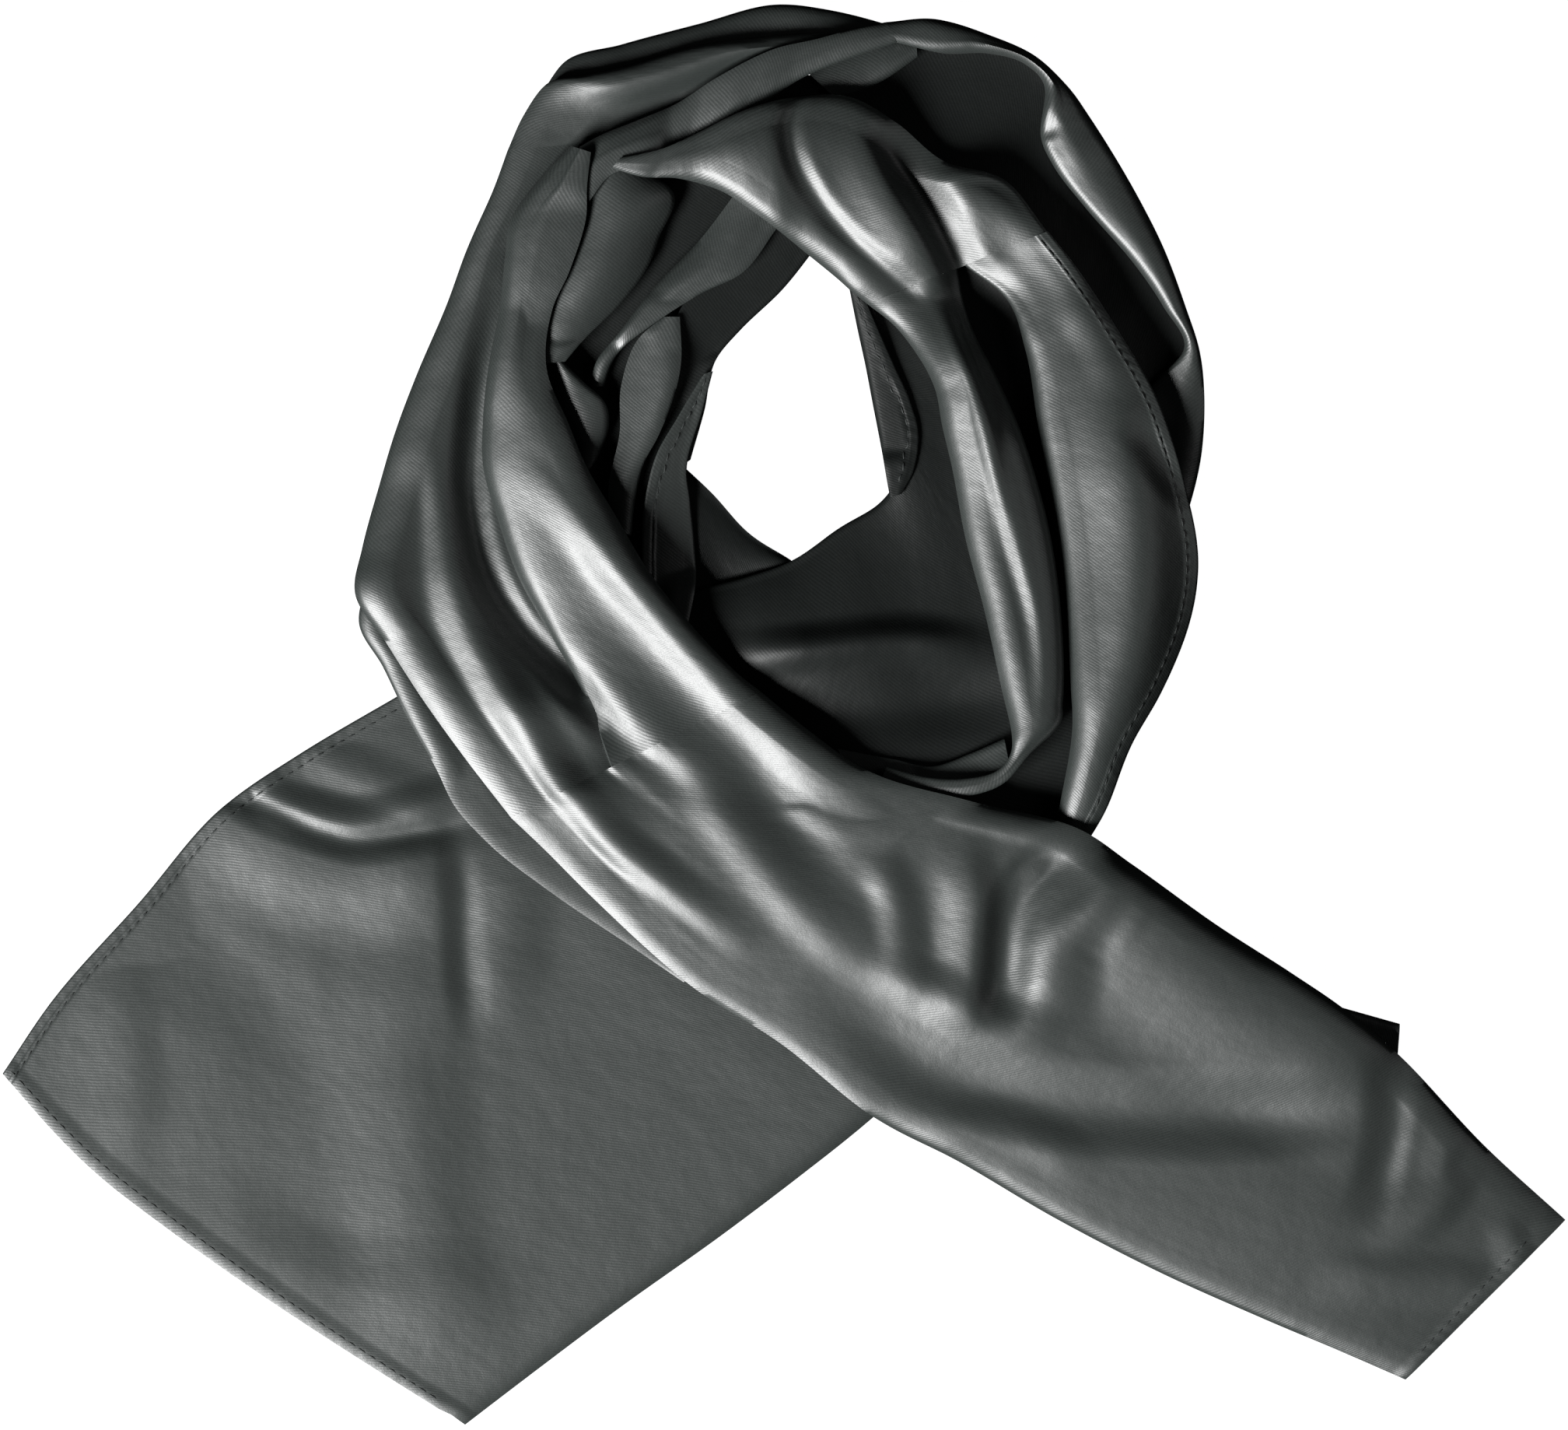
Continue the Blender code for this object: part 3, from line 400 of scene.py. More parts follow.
LEFT_HEM_STRIP = (
    Section(-121.5, 36.5, -113.5, 35.5, 6, 5, 4),
    Section(-123, 27, -111, 27, 6, 5, 3),
    Section(-116, 14, -103, 16, 7, 5, 3),
    Section(-109, -0.5, -94, 4.5, 7, 5, 3),
    Section(-100.5, -15.5, -85, -9, 7, 5, 3),
    Section(-95, -26.5, -78.5, -18, 6, 4, 3),
    Section(-86.5, -36, -71.5, -25, 5, 4, 4),
    Section(-67.5, -51, -56, -39.5, 5, 4, 4),
    Section(-43, -67.5, -35.5, -58.5, 5, 4, 4),
    Section(-29, -77, -24.5, -72, 5, 4, 4),
)

OUTER_LEFT_BAND = (
    Section(-80, 163, -59, 165, 9, 9, 6),
    Section(-84, 152, -66.5, 151, 9, 9, 5),
    Section(-92, 134, -75, 133, 9, 9, 4),
    Section(-97.5, 119, -76.5, 118, 9, 9, 4),
    Section(-106.5, 98, -79.5, 99, 10, 9, 3),
    Section(-112.5, 82, -81.5, 83, 11, 9, 3),
    Section(-117, 67, -80.5, 67.5, 11, 9, 3),
    Section(-122, 48.5, -77, 54, 11, 10, 3),
    Section(-124, 35.5, -71.5, 41.5, 11, 11, 3),
    Section(-115, 21, -64, 26.5, 11, 11, 3),
    Section(-104, 4, -56.5, 10, 11, 12, 2.5),
    Section(-91, -14, -51.5, -4, 11, 12, 5),
    Section(-79, -29.5, -49.5, -14.8, 11, 13, 9.8),
)

INNER_LEFT_BAND = (
    Section(-61.5, 164, -55.5, 162, 9, 9, 9),
    Section(-68.5, 157, -56.5, 153, 11, 11, 8),
    Section(-78.5, 144, -57, 142, 13, 12, 6),
    Section(-80.5, 133, -61.5, 128, 14, 13, 6),
    Section(-82, 118.5, -66.5, 117, 14, 15, 9),
    Section(-85.5, 99.5, -68, 99, 14, 17, 14),
    Section(-87, 84.5, -62, 84.5, 13, 17.5, 17),
    Section(-87, 72.5, -57, 72.5, 12.5, 18, 18),
    Section(-83, 57.5, -48.5, 58, 12, 18, 18),
    Section(-77, 40.5, -38, 40.5, 11.5, 17.5, 17),
    Section(-68.5, 25, -25.5, 25, 11, 16, 15),
    Section(-59, 8, -14, 13, 11.5, 15, 15),
    Section(-50, -15, -6.5, 7, 12, 15, 15),
)

FRONT_TAIL = (
    Section(-79, -29.5, -6.5, 7, 11, 13, 15),
    Section(-69.5, -38.5, 6.5, -3.5, 11, 13, 15),
    Section(-56, -52, 22, -14.5, 11, 13, 15),
    Section(-27, -78, 54, -24.5, 10, 14, 15),
    Section(0, -95.5, 84, -32, 9, 13, 14),
    Section(25, -115.5, 101, -43, 8, 12, 12),
    Section(50.5, -129, 124, -59.5, 7, 11, 9),
    Section(79.5, -146, 146.5, -74, 6, 10, 7),
    Section(108.5, -161, 162.5, -85, 5, 9, 6.5),
    Section(137.5, -174, 179.5, -99.5, 4.5, 8, 6),
    Section(160, -183.5, 202.5, -124, 4.5, 6, 5),
    Section(179.5, -192, 226, -145.5, 4.5, 4, 4.5),
)

BACK_TAIL_FOLDS = (
    Fold(((-141.5, -10), (-125.5, -15.5), (-114.5, -20.5), (-101, -27)), 10, 9, 0.9),
    Fold(
        (
            (-150.5, -12.5), (-147.5, -23.5), (-137, -28.5), (-124.5, -31), (-110, -28),
            (-87.5, -20),
        ),
        9, 9, 2.2,
    ),
    Fold(
        (
            (-166, -23), (-149, -29), (-137, -34), (-125.5, -37.5), (-110, -36.5), (-87.5, -33.5),
        ),
        6, 6, -1.1,
    ),
    Fold(
        (
            (-173, -27), (-151.5, -32), (-139, -38), (-125.5, -41.5), (-110, -40.5), (-87.5, -37),
        ),
        8, 28, 2.8,
    ),
    Fold(((-104, -31.5), (-101, -52), (-100.5, -70), (-99.5, -94.5)), 10, 32, 1.3),
    Fold(((-95, -34), (-93.5, -56), (-92.5, -72), (-90, -88)), 8, 7, -0.8),
    Fold(((-78.5, -36), (-79.5, -58.5), (-81.5, -74), (-86, -88)), 16, 14, 1.1),
    Fold(
        (
            (-115.5, -67.5), (-111.5, -97), (-108.5, -119), (-105.5, -144), (-101, -166.5),
            (-96.5, -184.5),
        ),
        24, 28, 1.3,
    ),
    Fold(((-194, -72), (-191, -94.5), (-189.5, -112.5), (-194, -130.5)), 13, 20, 0.7),
    Fold(
        (
            (-166, -137), (-152.5, -156.5), (-137, -164), (-119, -168.5), (-98.5, -169),
            (-74, -165.5),
        ),
        20, 26, 1.0,
    ),
    Fold(((-200, -58.5), (-175, -65), (-152.5, -83), (-137, -108)), 19, 21.5, -0.7),
)

LEFT_FOLDS = (
    Fold(
        (
            (-105, 72), (-105, 49.5), (-102.5, 29), (-94, 11), (-83, -7), (-71.5, -22.5),
            (-59, -37), (-42.5, -55), (-24.5, -72),
        ),
        5.5, 6.5, -1.7,
    ),
    Fold(
        (
            (-115, 81), (-116.5, 52), (-112.5, 29), (-100.5, 9), (-85, -13.5), (-70.5, -31),
            (-51.5, -49), (-29, -68.5),
        ),
        7, 11, 2.0,
    ),
    Fold(
        (
            (-101, 72), (-97.5, 56), (-96, 43), (-91, 27), (-81.5, 9), (-70.5, -9), (-54.5, -31.5),
            (-35.5, -47), (-13, -64),
        ),
        9, 7, 2.3,
    ),
    Fold(
        (
            (-83, 121.5), (-89.5, 85.5), (-90.5, 63), (-86, 43), (-77, 27), (-65, 13.5),
            (-52.5, -1), (-35.5, -18),
        ),
        7, 7, -4.0,
    ),
    Fold(((-69.5, 67.5), (-56, 52), (-38, 32.5), (-17.5, 11), (7, -13), (27.5, -27)), 6, 10, 2.4),
    Fold(((-69.5, 72), (-56, 36), (-40, 16), (-24.5, -2), (-2, -27), (18.5, -52)), 12, 14, -2.0),
    Fold(((-33.5, -7), (-11, -36), (9.5, -58.5), (36.5, -79)), 16, 12, 1.6),
)

FRONT_TAIL_FOLDS = (
    Fold(((-2, 5.5), (14.5, -8), (38.5, -19), (63.5, -27), (88, -34), (106, -45)), 7.5, 10, 2.4),
    Fold(((52, -38), (55, -54), (55, -70), (51, -88)), 9, 14, 2.5),
    Fold(((85, -39.5), (71.5, -47), (65, -61), (63.5, -74), (62.5, -90)), 9, 10, -2.9),
    Fold(((99.5, -38), (92.5, -53), (79.5, -64), (77, -79), (76, -92)), 16, 11, 2.6),
    Fold(((100.5, -47), (95, -58.5), (88, -70)), 7.5, 9, -0.9),
    Fold(((27.5, -40.5), (32, -54), (35.5, -72)), 9, 9, 1.5),
    Fold(((27.5, -71), (43, -80), (59, -88), (77, -92)), 10, 10, 1.9),
    Fold(((83.5, -43), (110.5, -61), (137.5, -79), (164.5, -94.5), (187, -108)), 13, 40, 6.5),
    Fold(
        (
            (16, -81), (43, -102.5), (68, -110.5), (99.5, -115), (133, -115.5), (164.5, -112.5),
            (178, -108),
        ),
        15.5, 14.5, -3.0,
    ),
    Fold(((173.5, -94.5), (176, -112.5), (174, -128), (169, -144)), 7.5, 10, -1.9),
    Fold(((189.5, -90), (193.5, -115), (190.5, -137), (173.5, -151)), 10, 13, 1.9),
    Fold(((197.5, -115), (196, -126), (194, -135)), 5.5, 5.5, -0.9),
    Fold(((155.5, -162), (178, -162), (198.5, -164), (207.5, -166.5)), 9, 11, 0.9),
    Fold(((207.5, -144), (212, -157.5), (209.5, -171)), 6.5, 9, 0.9),
    Fold(((43, -117), (65.5, -119), (88, -130.5)), 10, 10, 0.9),
)

RIGHT_FOLDS = (
    Fold(((-2, 184.5), (-5, 166.5), (-3.5, 151), (2.5, 135)), 8.5, 23, 2.4),
    Fold(((0, 182), (2.5, 162), (9.5, 148.5), (22, 134), (35.5, 122.5), (46.5, 108)), 5, 5, -2.0),
    Fold(((23, 178), (34, 158.5), (43, 144), (51, 128), (57, 110), (65.5, 85.5)), 10.5, 6, -5.2),
    Fold(((18, 172), (27, 154.5), (36, 140), (44, 124), (49.5, 107), (57.5, 83), (61, 60)), 5, 14, 2.6),
    Fold(((20.5, 182), (41, 164), (54.5, 152), (70, 140.5), (81.5, 128), (89.5, 110)), 7.5, 11.5, 2.4),
    Fold(((38.5, 121.5), (49, 94.5), (55.5, 72), (62.5, 49.5), (69, 27), (71.5, -2)), 5, 6, -2.2),
    Fold(((94, 99), (100, 67.5), (103, 45), (101.5, 22.5), (96, 0), (89.5, -22.5)), 17, 21, 6.0),
    Fold(((100.5, 85.5), (109.5, 71), (119.5, 61)), 6.5, 7.5, -1.6),
    Fold(((83.5, 121.5), (92.5, 108), (97, 94.5)), 8.5, 10.5, 1.2),
)

BOTTOM_FOLDS = (
    Fold(((-13, 18), (9.5, 20), (34, 22), (58, 20)), 8, 9, 4.2),
    Fold(((-17.5, 3.5), (11.5, 1), (43, 3.5), (70, 7)), 14, 14, -3.6),
)

TOP_FOLDS = (
    Fold(((-71.5, 179), (-51.5, 182), (-29, 188), (-2, 195.5), (20.5, 198)), 7, 8, 2.8),
    Fold(((-60.5, 166.5), (-35.5, 176.5), (-13, 185.5), (11.5, 194.5)), 6, 5, -1.6),
)

OUTER_RIM_FOLDS = (
    Fold(((74.5, 182), (80.5, 171), (88, 157.5)), 6, 8, 1.2),
    Fold(((73.5, 173), (77, 166.5)), 5, 5, -1.2),
)

# The stretches in the loop's hollows are flagged to take the darker copy of the satin, which is painted
# shade.
STRETCHES = (
    Stretch("hidden_layers", HIDDEN_LAYERS, PLAIN, PLAIN, solid=True, held="folded"),
    Stretch(
        "back_tail", BACK_TAIL, PLAIN, Edge(9, 14), BACK_TAIL_FOLDS,
        bow=Bow(7, 0.3), stitched=("a", "start"),
    ),
    Stretch("front_tail_under", FRONT_TAIL_UNDER, Edge(2, 6), PLAIN),
    Stretch("right_hollow", RIGHT_HOLLOW, PLAIN, PLAIN, back_up=True),
    Stretch("opening_corner", OPENING_CORNER, PLAIN, PLAIN, back_up=True),
    Stretch("bottom_inner_band", BOTTOM_INNER_BAND, Edge(2, 5), PLAIN, BOTTOM_FOLDS, back_up=True),
    Stretch("inner_ground", INNER_GROUND, PLAIN, PLAIN, back_up=True),
    Stretch("opening_rim", OPENING_RIM, PLAIN, Edge(2, 4), back_up=True),
    Stretch("opening_hem_strip", OPENING_HEM_STRIP, PLAIN, Edge(2, 4), stitched=("a",)),
    Stretch("inner_flap", INNER_FLAP, Edge(2, 3), PLAIN, stitched=("b",), back_up=True),
    Stretch("inner_fold_leaf", INNER_FOLD_LEAF, PLAIN, Edge(4, 3)),
    Stretch("inner_fold_wing", INNER_FOLD_WING, PLAIN, Edge(4, 3)),
    Stretch("inner_fold_cuff", INNER_FOLD_CUFF, PLAIN, Edge(4, 3)),
    Stretch("inner_fold_cone", INNER_FOLD_CONE, Edge(5, 4), PLAIN),
    Stretch("roll_cup", ROLL_CUP, Edge(2.5, 2), PLAIN),
    Stretch("top_pleat_outer", TOP_PLEAT_OUTER, Edge(5, 6), PLAIN),
    Stretch("top_tongue", TOP_TONGUE, PLAIN, Edge(3, 3)),
    Stretch("left_hem_strip", LEFT_HEM_STRIP, Edge(5, 5), PLAIN),
    Stretch("outer_left_band", OUTER_LEFT_BAND, Edge(11, 6), PLAIN, LEFT_FOLDS),
    Stretch(
        "top_pleat_middle", TOP_PLEAT_MIDDLE, Edge(8, 8.5), PLAIN, TOP_FOLDS,
        beside=("outer_left_band",), joins=("outer_left_band",),
    ),
    Stretch("top_pleat_inner", TOP_PLEAT_INNER, Edge(5, 5), Edge(5, 4)),
    Stretch(
        "right_outer_band", RIGHT_OUTER_BAND, Edge(6, 6), Edge(3, 4), OUTER_RIM_FOLDS,
        beside=("top_pleat_inner",), joins=("top_pleat_inner",),
    ),
    Stretch("right_top", RIGHT_TOP, Edge(8, 6), Edge(8, 5, 1.0, 0.15), RIGHT_FOLDS),
    Stretch(
        "right_panel", RIGHT_PANEL, Edge(8, 6, 0.2), PLAIN, RIGHT_FOLDS,
        beside=("right_top",), joins=("right_top",), stitched=("b",),
    ),
    Stretch(
        "right_roll", RIGHT_ROLL, Edge(8, 5), Edge(5, 5, 0.2), RIGHT_FOLDS,
        beside=("right_top", "right_panel"), joins=("right_top",),
    ),
    Stretch(
        "inner_left_band", INNER_LEFT_BAND, Edge(6, 4, 1.0, 0.1), Edge(8, 5), LEFT_FOLDS,
        beside=("outer_left_band", "hidden_layers"),
    ),
    Stretch(
        "front_tail", FRONT_TAIL, Edge(8, 8, 1.3), Edge(9, 8), LEFT_FOLDS + FRONT_TAIL_FOLDS,
        beside=("outer_left_band", "inner_left_band"),
        joins=("outer_left_band", "inner_left_band"),
        stitched=("end",),
    ),
)


def ramp(value, low, high):
    """A soft step from 0 at the low value to 1 at the high one."""
    t = np.clip((value - low) / (high - low), 0, 1)
    return t * t * (3 - 2 * t)


def smooth_curve(points, stops, at):
    """Points of the smooth curve through the given rows, which lie at the given stops."""
    points = np.asarray(points, float)
    slopes = np.gradient(points, stops, axis=0)
    place = np.clip(np.searchsorted(stops, at, side="right") - 1, 0, len(stops) - 2)
    span = stops[place + 1] - stops[place]
    t = ((at - stops[place]) / span)[:, None]
    span = span[:, None]
    start, end = points[place], points[place + 1]
    return (
        start * (1 + 2 * t) * (1 - t) ** 2
        + slopes[place] * span * t * (1 - t) ** 2
        + end * t**2 * (3 - 2 * t)
        + slopes[place + 1] * span * t**2 * (t - 1)
    )


def fold_height(x, y, fold):
    """How far one fold raises, or with a negative height lowers, the cloth at each point."""
    path = np.array(fold.path, float)
    stops = np.concatenate([[0], np.cumsum(np.linalg.norm(np.diff(path, axis=0), axis=1))])
    line = smooth_curve(path, stops, np.linspace(0, stops[-1], SECTION_STEPS * len(path)))
    reach = 1.05 * max(fold.left_width, fold.right_width) / FOLD_TIP
    near = (
        (x > line[:, 0].min() - reach)
        & (x < line[:, 0].max() + reach)
        & (y > line[:, 1].min() - reach)
        & (y < line[:, 1].max() + reach)
    )
    height = np.zeros_like(x)
    if not near.any():
        return height
    tangent = np.gradient(line, axis=0)
    tangent /= np.linalg.norm(tangent, axis=1)[:, None]
    offset_x = x[near][..., None] - line[:, 0]
    offset_y = y[near][..., None] - line[:, 1]
    nearest = np.argmin(offset_x**2 + offset_y**2, axis=-1)
    pick_x = np.take_along_axis(offset_x, nearest[..., None], -1)[..., 0]
    pick_y = np.take_along_axis(offset_y, nearest[..., None], -1)[..., 0]
    run = tangent[nearest]
    along = pick_x * run[..., 0] + pick_y * run[..., 1]
    aside = run[..., 0] * pick_y - run[..., 1] * pick_x
    side = 0.5 + 0.5 * np.tanh(aside / (FOLD_BLEND * min(fold.left_width, fold.right_width)))
    width = fold.right_width + (fold.left_width - fold.right_width) * side
    away = np.hypot(aside, along * FOLD_TIP) / width
    share = (nearest + along / (stops[-1] / (len(line) - 1))) / (len(line) - 1)
    taper = ramp(share, -FOLD_PAST, FOLD_FADE) * (1 - ramp(share, 1 - FOLD_FADE, 1 + FOLD_PAST))
    bump = np.where(away < 1, 0.5 + 0.5 * np.cos(math.pi * np.clip(away, 0, 1)), 0)
    height[near] = fold.height * taper * bump
    return height


def across_fade(share, low, middle, high):
    """A level that passes through its values at the A edge, the middle and the B edge."""
    return (
        low * (1 - share) * (1 - 2 * share)
        + 4 * middle * share * (1 - share)
        + high * share * (2 * share - 1)
    )


def soft_noise(place, period, seed):
    """A smooth uneven wave about 1 high, the same on each run."""
    waves = np.zeros_like(place)
    for i, (rate, weight) in enumerate(((1.0, 0.5), (1.618, 0.3), (2.43, 0.2))):
        waves = waves + weight * np.sin(2 * math.pi * rate * place / period + seed * (1.7 + i) + i)
    return waves


def map_place(x, y):
    """The row and the column of the height map's cell at each point."""
    row = np.clip(np.round((y + MAP_HALF_Y) / MAP_CELL).astype(int), 0, int(2 * MAP_HALF_Y / MAP_CELL))
    column = np.clip(np.round((x + MAP_HALF_X) / MAP_CELL).astype(int), 0, int(2 * MAP_HALF_X / MAP_CELL))
    return row, column


def empty_map():
    """A height map of the bare table."""
    return np.zeros((int(2 * MAP_HALF_Y / MAP_CELL) + 1, int(2 * MAP_HALF_X / MAP_CELL) + 1))


def refined(grid, steps):
    """The grid with straight steps added between its rows and its columns."""
    for axis in (0, 1):
        grid = np.moveaxis(grid, axis, 0)
        share = (np.arange(steps) / steps).reshape((1, steps) + (1,) * (grid.ndim - 1))
        filled = grid[:-1, None] * (1 - share) + grid[1:, None] * share
        grid = np.concatenate([filled.reshape((-1,) + grid.shape[1:]), grid[-1:]])
        grid = np.moveaxis(grid, 0, axis)
    return grid


def height_map(top):
    """A map of the highest point of a stretch over each cell, spread by one cell on all sides."""
    fine = refined(top, 3)
    heights = empty_map()
    np.maximum.at(heights, map_place(fine[..., 0], fine[..., 1]), fine[..., 2])
    spread = heights.copy()
    for shift_y in (-1, 0, 1):
        for shift_x in (-1, 0, 1):
            spread = np.maximum(spread, np.roll(heights, (shift_y, shift_x), (0, 1)))
    return spread


def clear_level(x, y, ceiling):
    """The lowest height at which the underside of a cloth clears what lies under it."""
    under = ceiling[map_place(x, y)]
    return np.where(under > 0, under + LAYER_GAP, 0)


def neighbours(field):
    """The field's values one step away on each of its four sides."""
    padded = np.pad(field, 1, mode="edge")
    return padded[:-2, 1:-1], padded[2:, 1:-1], padded[1:-1, :-2], padded[1:-1, 2:]


def draped_lift(excess):
    """The lift that carries a cloth over what is under it: the excess at least, with soft ramps round it."""
    if excess.max() <= 0:
        return np.zeros_like(excess)
    lift = np.maximum(excess, 0)
    for _ in range(LIFT_SPREADS):
        lift = np.maximum(lift, np.max(neighbours(lift), axis=0) - LIFT_SLOPE * CELL_ACROSS)
    for _ in range(LIFT_SOFTENS):
        lift = np.maximum((np.sum(neighbours(lift), axis=0) + lift) / 5, excess)
    return np.maximum(lift, 0)


def smoothed_row(values, span):
    """The running highest value, with its steps rounded off."""
    highest = values.copy()
    for shift in range(1, span + 1):
        highest[:-shift] = np.maximum(highest[:-shift], values[shift:])
        highest[shift:] = np.maximum(highest[shift:], values[:-shift])
    kernel = np.hanning(2 * span + 3)[1:-1]
    kernel /= kernel.sum()
    return np.convolve(np.pad(highest, span, mode="edge"), kernel, mode="valid")


def section_rows(stretch):
    """The edge lines and the levels of a stretch at evenly spaced rows, and how far along each row is."""
    rows = np.array(stretch.sections, float)
    middle = (rows[:, 0:2] + rows[:, 2:4]) / 2
    stops = np.concatenate([[0], np.cumsum(np.linalg.norm(np.diff(middle, axis=0), axis=1) + 0.5)])
    at = np.linspace(0, stops[-1], max(6, round(stops[-1] / CELL_ALONG)) + 1)
    return smooth_curve(rows, stops, at), at


def edge_sizes(width, along_share, edge, other):
    """How far an edge's round and its lip reach in, row by row."""
    if edge is PLAIN:
        return np.zeros_like(width), np.zeros_like(width)
    at_start = (edge.start_share - 1) * (1 - ramp(along_share, 0, EDGE_FADE))
    at_end = (edge.end_share - 1) * ramp(along_share, 1 - EDGE_FADE, 1)
    grown = 1 + at_start + at_end
    reach = np.minimum(edge.reach, 0.4 * width) * grown
    other_reach = 0 if other is PLAIN else np.minimum(other.reach, 0.4 * width)
    room = width - reach - other_reach - INNER_GAP
    lip = np.clip(np.minimum(edge.lip, 0.45 * room), 0.2 * reach, None) * grown
    return reach, lip


def top_distances(width, a_reach, b_reach, hems):
    """How far from the A edge each point of the top lies, row by row: closer together in a hem."""
    start, end = a_reach, width - b_reach
    zone = np.minimum(HEM_ZONE, 0.35 * (end - start))
    low = start + (zone if "a" in hems else 0)
    high = end - (zone if "b" in hems else 0)
    count = max(4, round(float(np.median(high - low)) / CELL_ACROSS))
    parts = [low[:, None] + (high - low)[:, None] * np.linspace(0, 1, count + 1)]
    fine = np.linspace(0, 1, HEM_COLUMNS + 1)
    if "a" in hems:
        parts.insert(0, start[:, None] + (low - start)[:, None] * fine[:-1])
    if "b" in hems:
        parts.append(high[:, None] + (end - high)[:, None] * fine[1:])
    return np.concatenate(parts, axis=1)


def hem_relief(away, along, seed):
    """The doubled cloth of a machine-stitched hem, its stitch groove and its puckers."""
    band = ramp(away, -0.1, 0.5) * (1 - ramp(away, HEM_WIDTH - 0.1, HEM_WIDTH + 0.5))
    groove = np.exp(-(((away - HEM_SEAM) / GROOVE_WIDTH) ** 2))
    pull = 0.6 + 0.4 * soft_noise(along, 60, seed)
    slant = 2 * math.pi * (along + PUCKER_SLANT * away) / STITCH_PITCH
    reach = ramp(away, 0.1, 0.9) * (1 - ramp(away, 2.4, 5.0))
    pucker = np.sin(slant + 0.8 * soft_noise(along, 17, seed + 1)) * reach
    return HEM_RISE * band - GROOVE_DEPTH * groove + PUCKER_HEIGHT * pull * pucker


def edge_foot(edge_line, inward, reach, lip, ceiling):
    """The height at which a turned-under edge lies, row by row."""
    shares = np.linspace(-0.15, 1.05, 16)
    zone = edge_line[:, None] + inward[:, None] * ((reach + lip + 0.2)[:, None] * shares)[..., None]
    return smoothed_row(clear_level(zone[..., 0], zone[..., 1], ceiling).max(axis=1), 5)


def bowed(line, rows, share, bow):
    """The top of a stretch, with its first end bulging outward between the two edges."""
    if not bow.depth:
        return line
    travel = rows[1, 0:2] + rows[1, 2:4] - rows[0, 0:2] - rows[0, 2:4]
    travel /= np.linalg.norm(travel)
    warped = np.where(share < bow.peak, share / bow.peak, (1 - share) / (1 - bow.peak)) * 0.5
    bulge = bow.depth * np.sin(math.pi * warped)
    fade = np.clip(1 - np.linspace(0, 1, len(rows)) / BOW_FADE, 0, 1)[:, None] ** 2
    line[..., 0:2] -= travel * (bulge * fade)[..., None]
    return line


def round_edge(line, inward, top_z, foot, reach, lip):
    """The turned-under edge of all rows, from its lip's end to the top: the outer and the inner points."""
    half = (top_z - foot) / 2
    inner_reach = np.maximum(reach - WALL, 0.15 * reach)
    outer, inner = [], []

    def point(away, height):
        return np.concatenate([line + inward * away[:, None], height[:, None]], axis=1)

    for share in (1.0, 0.5):
        outer.append(point(reach + lip * share, foot))
        inner.append(point(reach + lip * share, foot + np.minimum(WALL, half)))
    for angle in np.linspace(-math.pi / 2, math.pi / 2, ARC_STEPS + 1)[:-1]:
        outer.append(point(reach * (1 - math.cos(angle)), foot + half * (1 + math.sin(angle))))
        inner_half = np.maximum(half - WALL, 0.02)
        inner_height = foot + half + inner_half * math.sin(angle)
        inner.append(point(reach - inner_reach * math.cos(angle), inner_height))
    return np.stack(outer, axis=1), np.stack(inner, axis=1)


def softened(line, reach):
    """The line of values, each one averaged with its neighbours."""
    weights = np.exp(-np.linspace(-2, 2, 2 * reach + 1) ** 2)
    return np.convolve(np.pad(line, reach, mode="edge"), weights / weights.sum(), mode="valid")


def joined(level, top, at, others):
    """The level, led smoothly into the end rows of the stretches that run on into this one."""
    ends = ((0, 1), (-1, -2))
    for other in others:
        pairs = []
        for their_end in ends:
            for own_end in ends:
                gap = other[their_end[0], :, :2].mean(axis=0) - top[own_end[0], :, :2].mean(axis=0)
                pairs.append((np.linalg.norm(gap), their_end, own_end))
        _, theirs, mine = min(pairs)
        start, end = top[mine[0], 0, :2], top[mine[0], -1, :2]
        way = (end - start) / np.linalg.norm(end - start)
        edge, before = other[theirs[0]], other[theirs[1]]
        place = (edge[:, :2] - start) @ way
        order = np.argsort(place)
        step = np.linalg.norm(edge[:, :2] - before[:, :2], axis=1)
        slope = (edge[:, 2] - before[:, 2]) / step
        here = (top[mine[0], :, :2] - start) @ way
        past_low = ramp(here, place.min() - JOIN_RIM, place.min() - 0.1)
        past_high = ramp(here, place.max() + 0.1, place.max() + JOIN_RIM)
        inside = past_low * (1 - past_high)
        height = np.interp(here, place[order], edge[order, 2])
        lean = softened(np.interp(here, place[order], slope[order]), JOIN_COLUMNS)
        away = at if mine[0] == 0 else at[-1] - at
        away = away[:, None]
        height = height + (softened(height, JOIN_COLUMNS) - height) * ramp(away, 0, JOIN_SOFTENS)
        fade = 1 - ramp(away, 0, min(JOIN_REACH, 0.6 * at[-1]))
        wanted = height + lean * away * np.exp(-away / JOIN_SLOPE_FADE)
        level = level + (wanted - level) * fade * inside
    return level


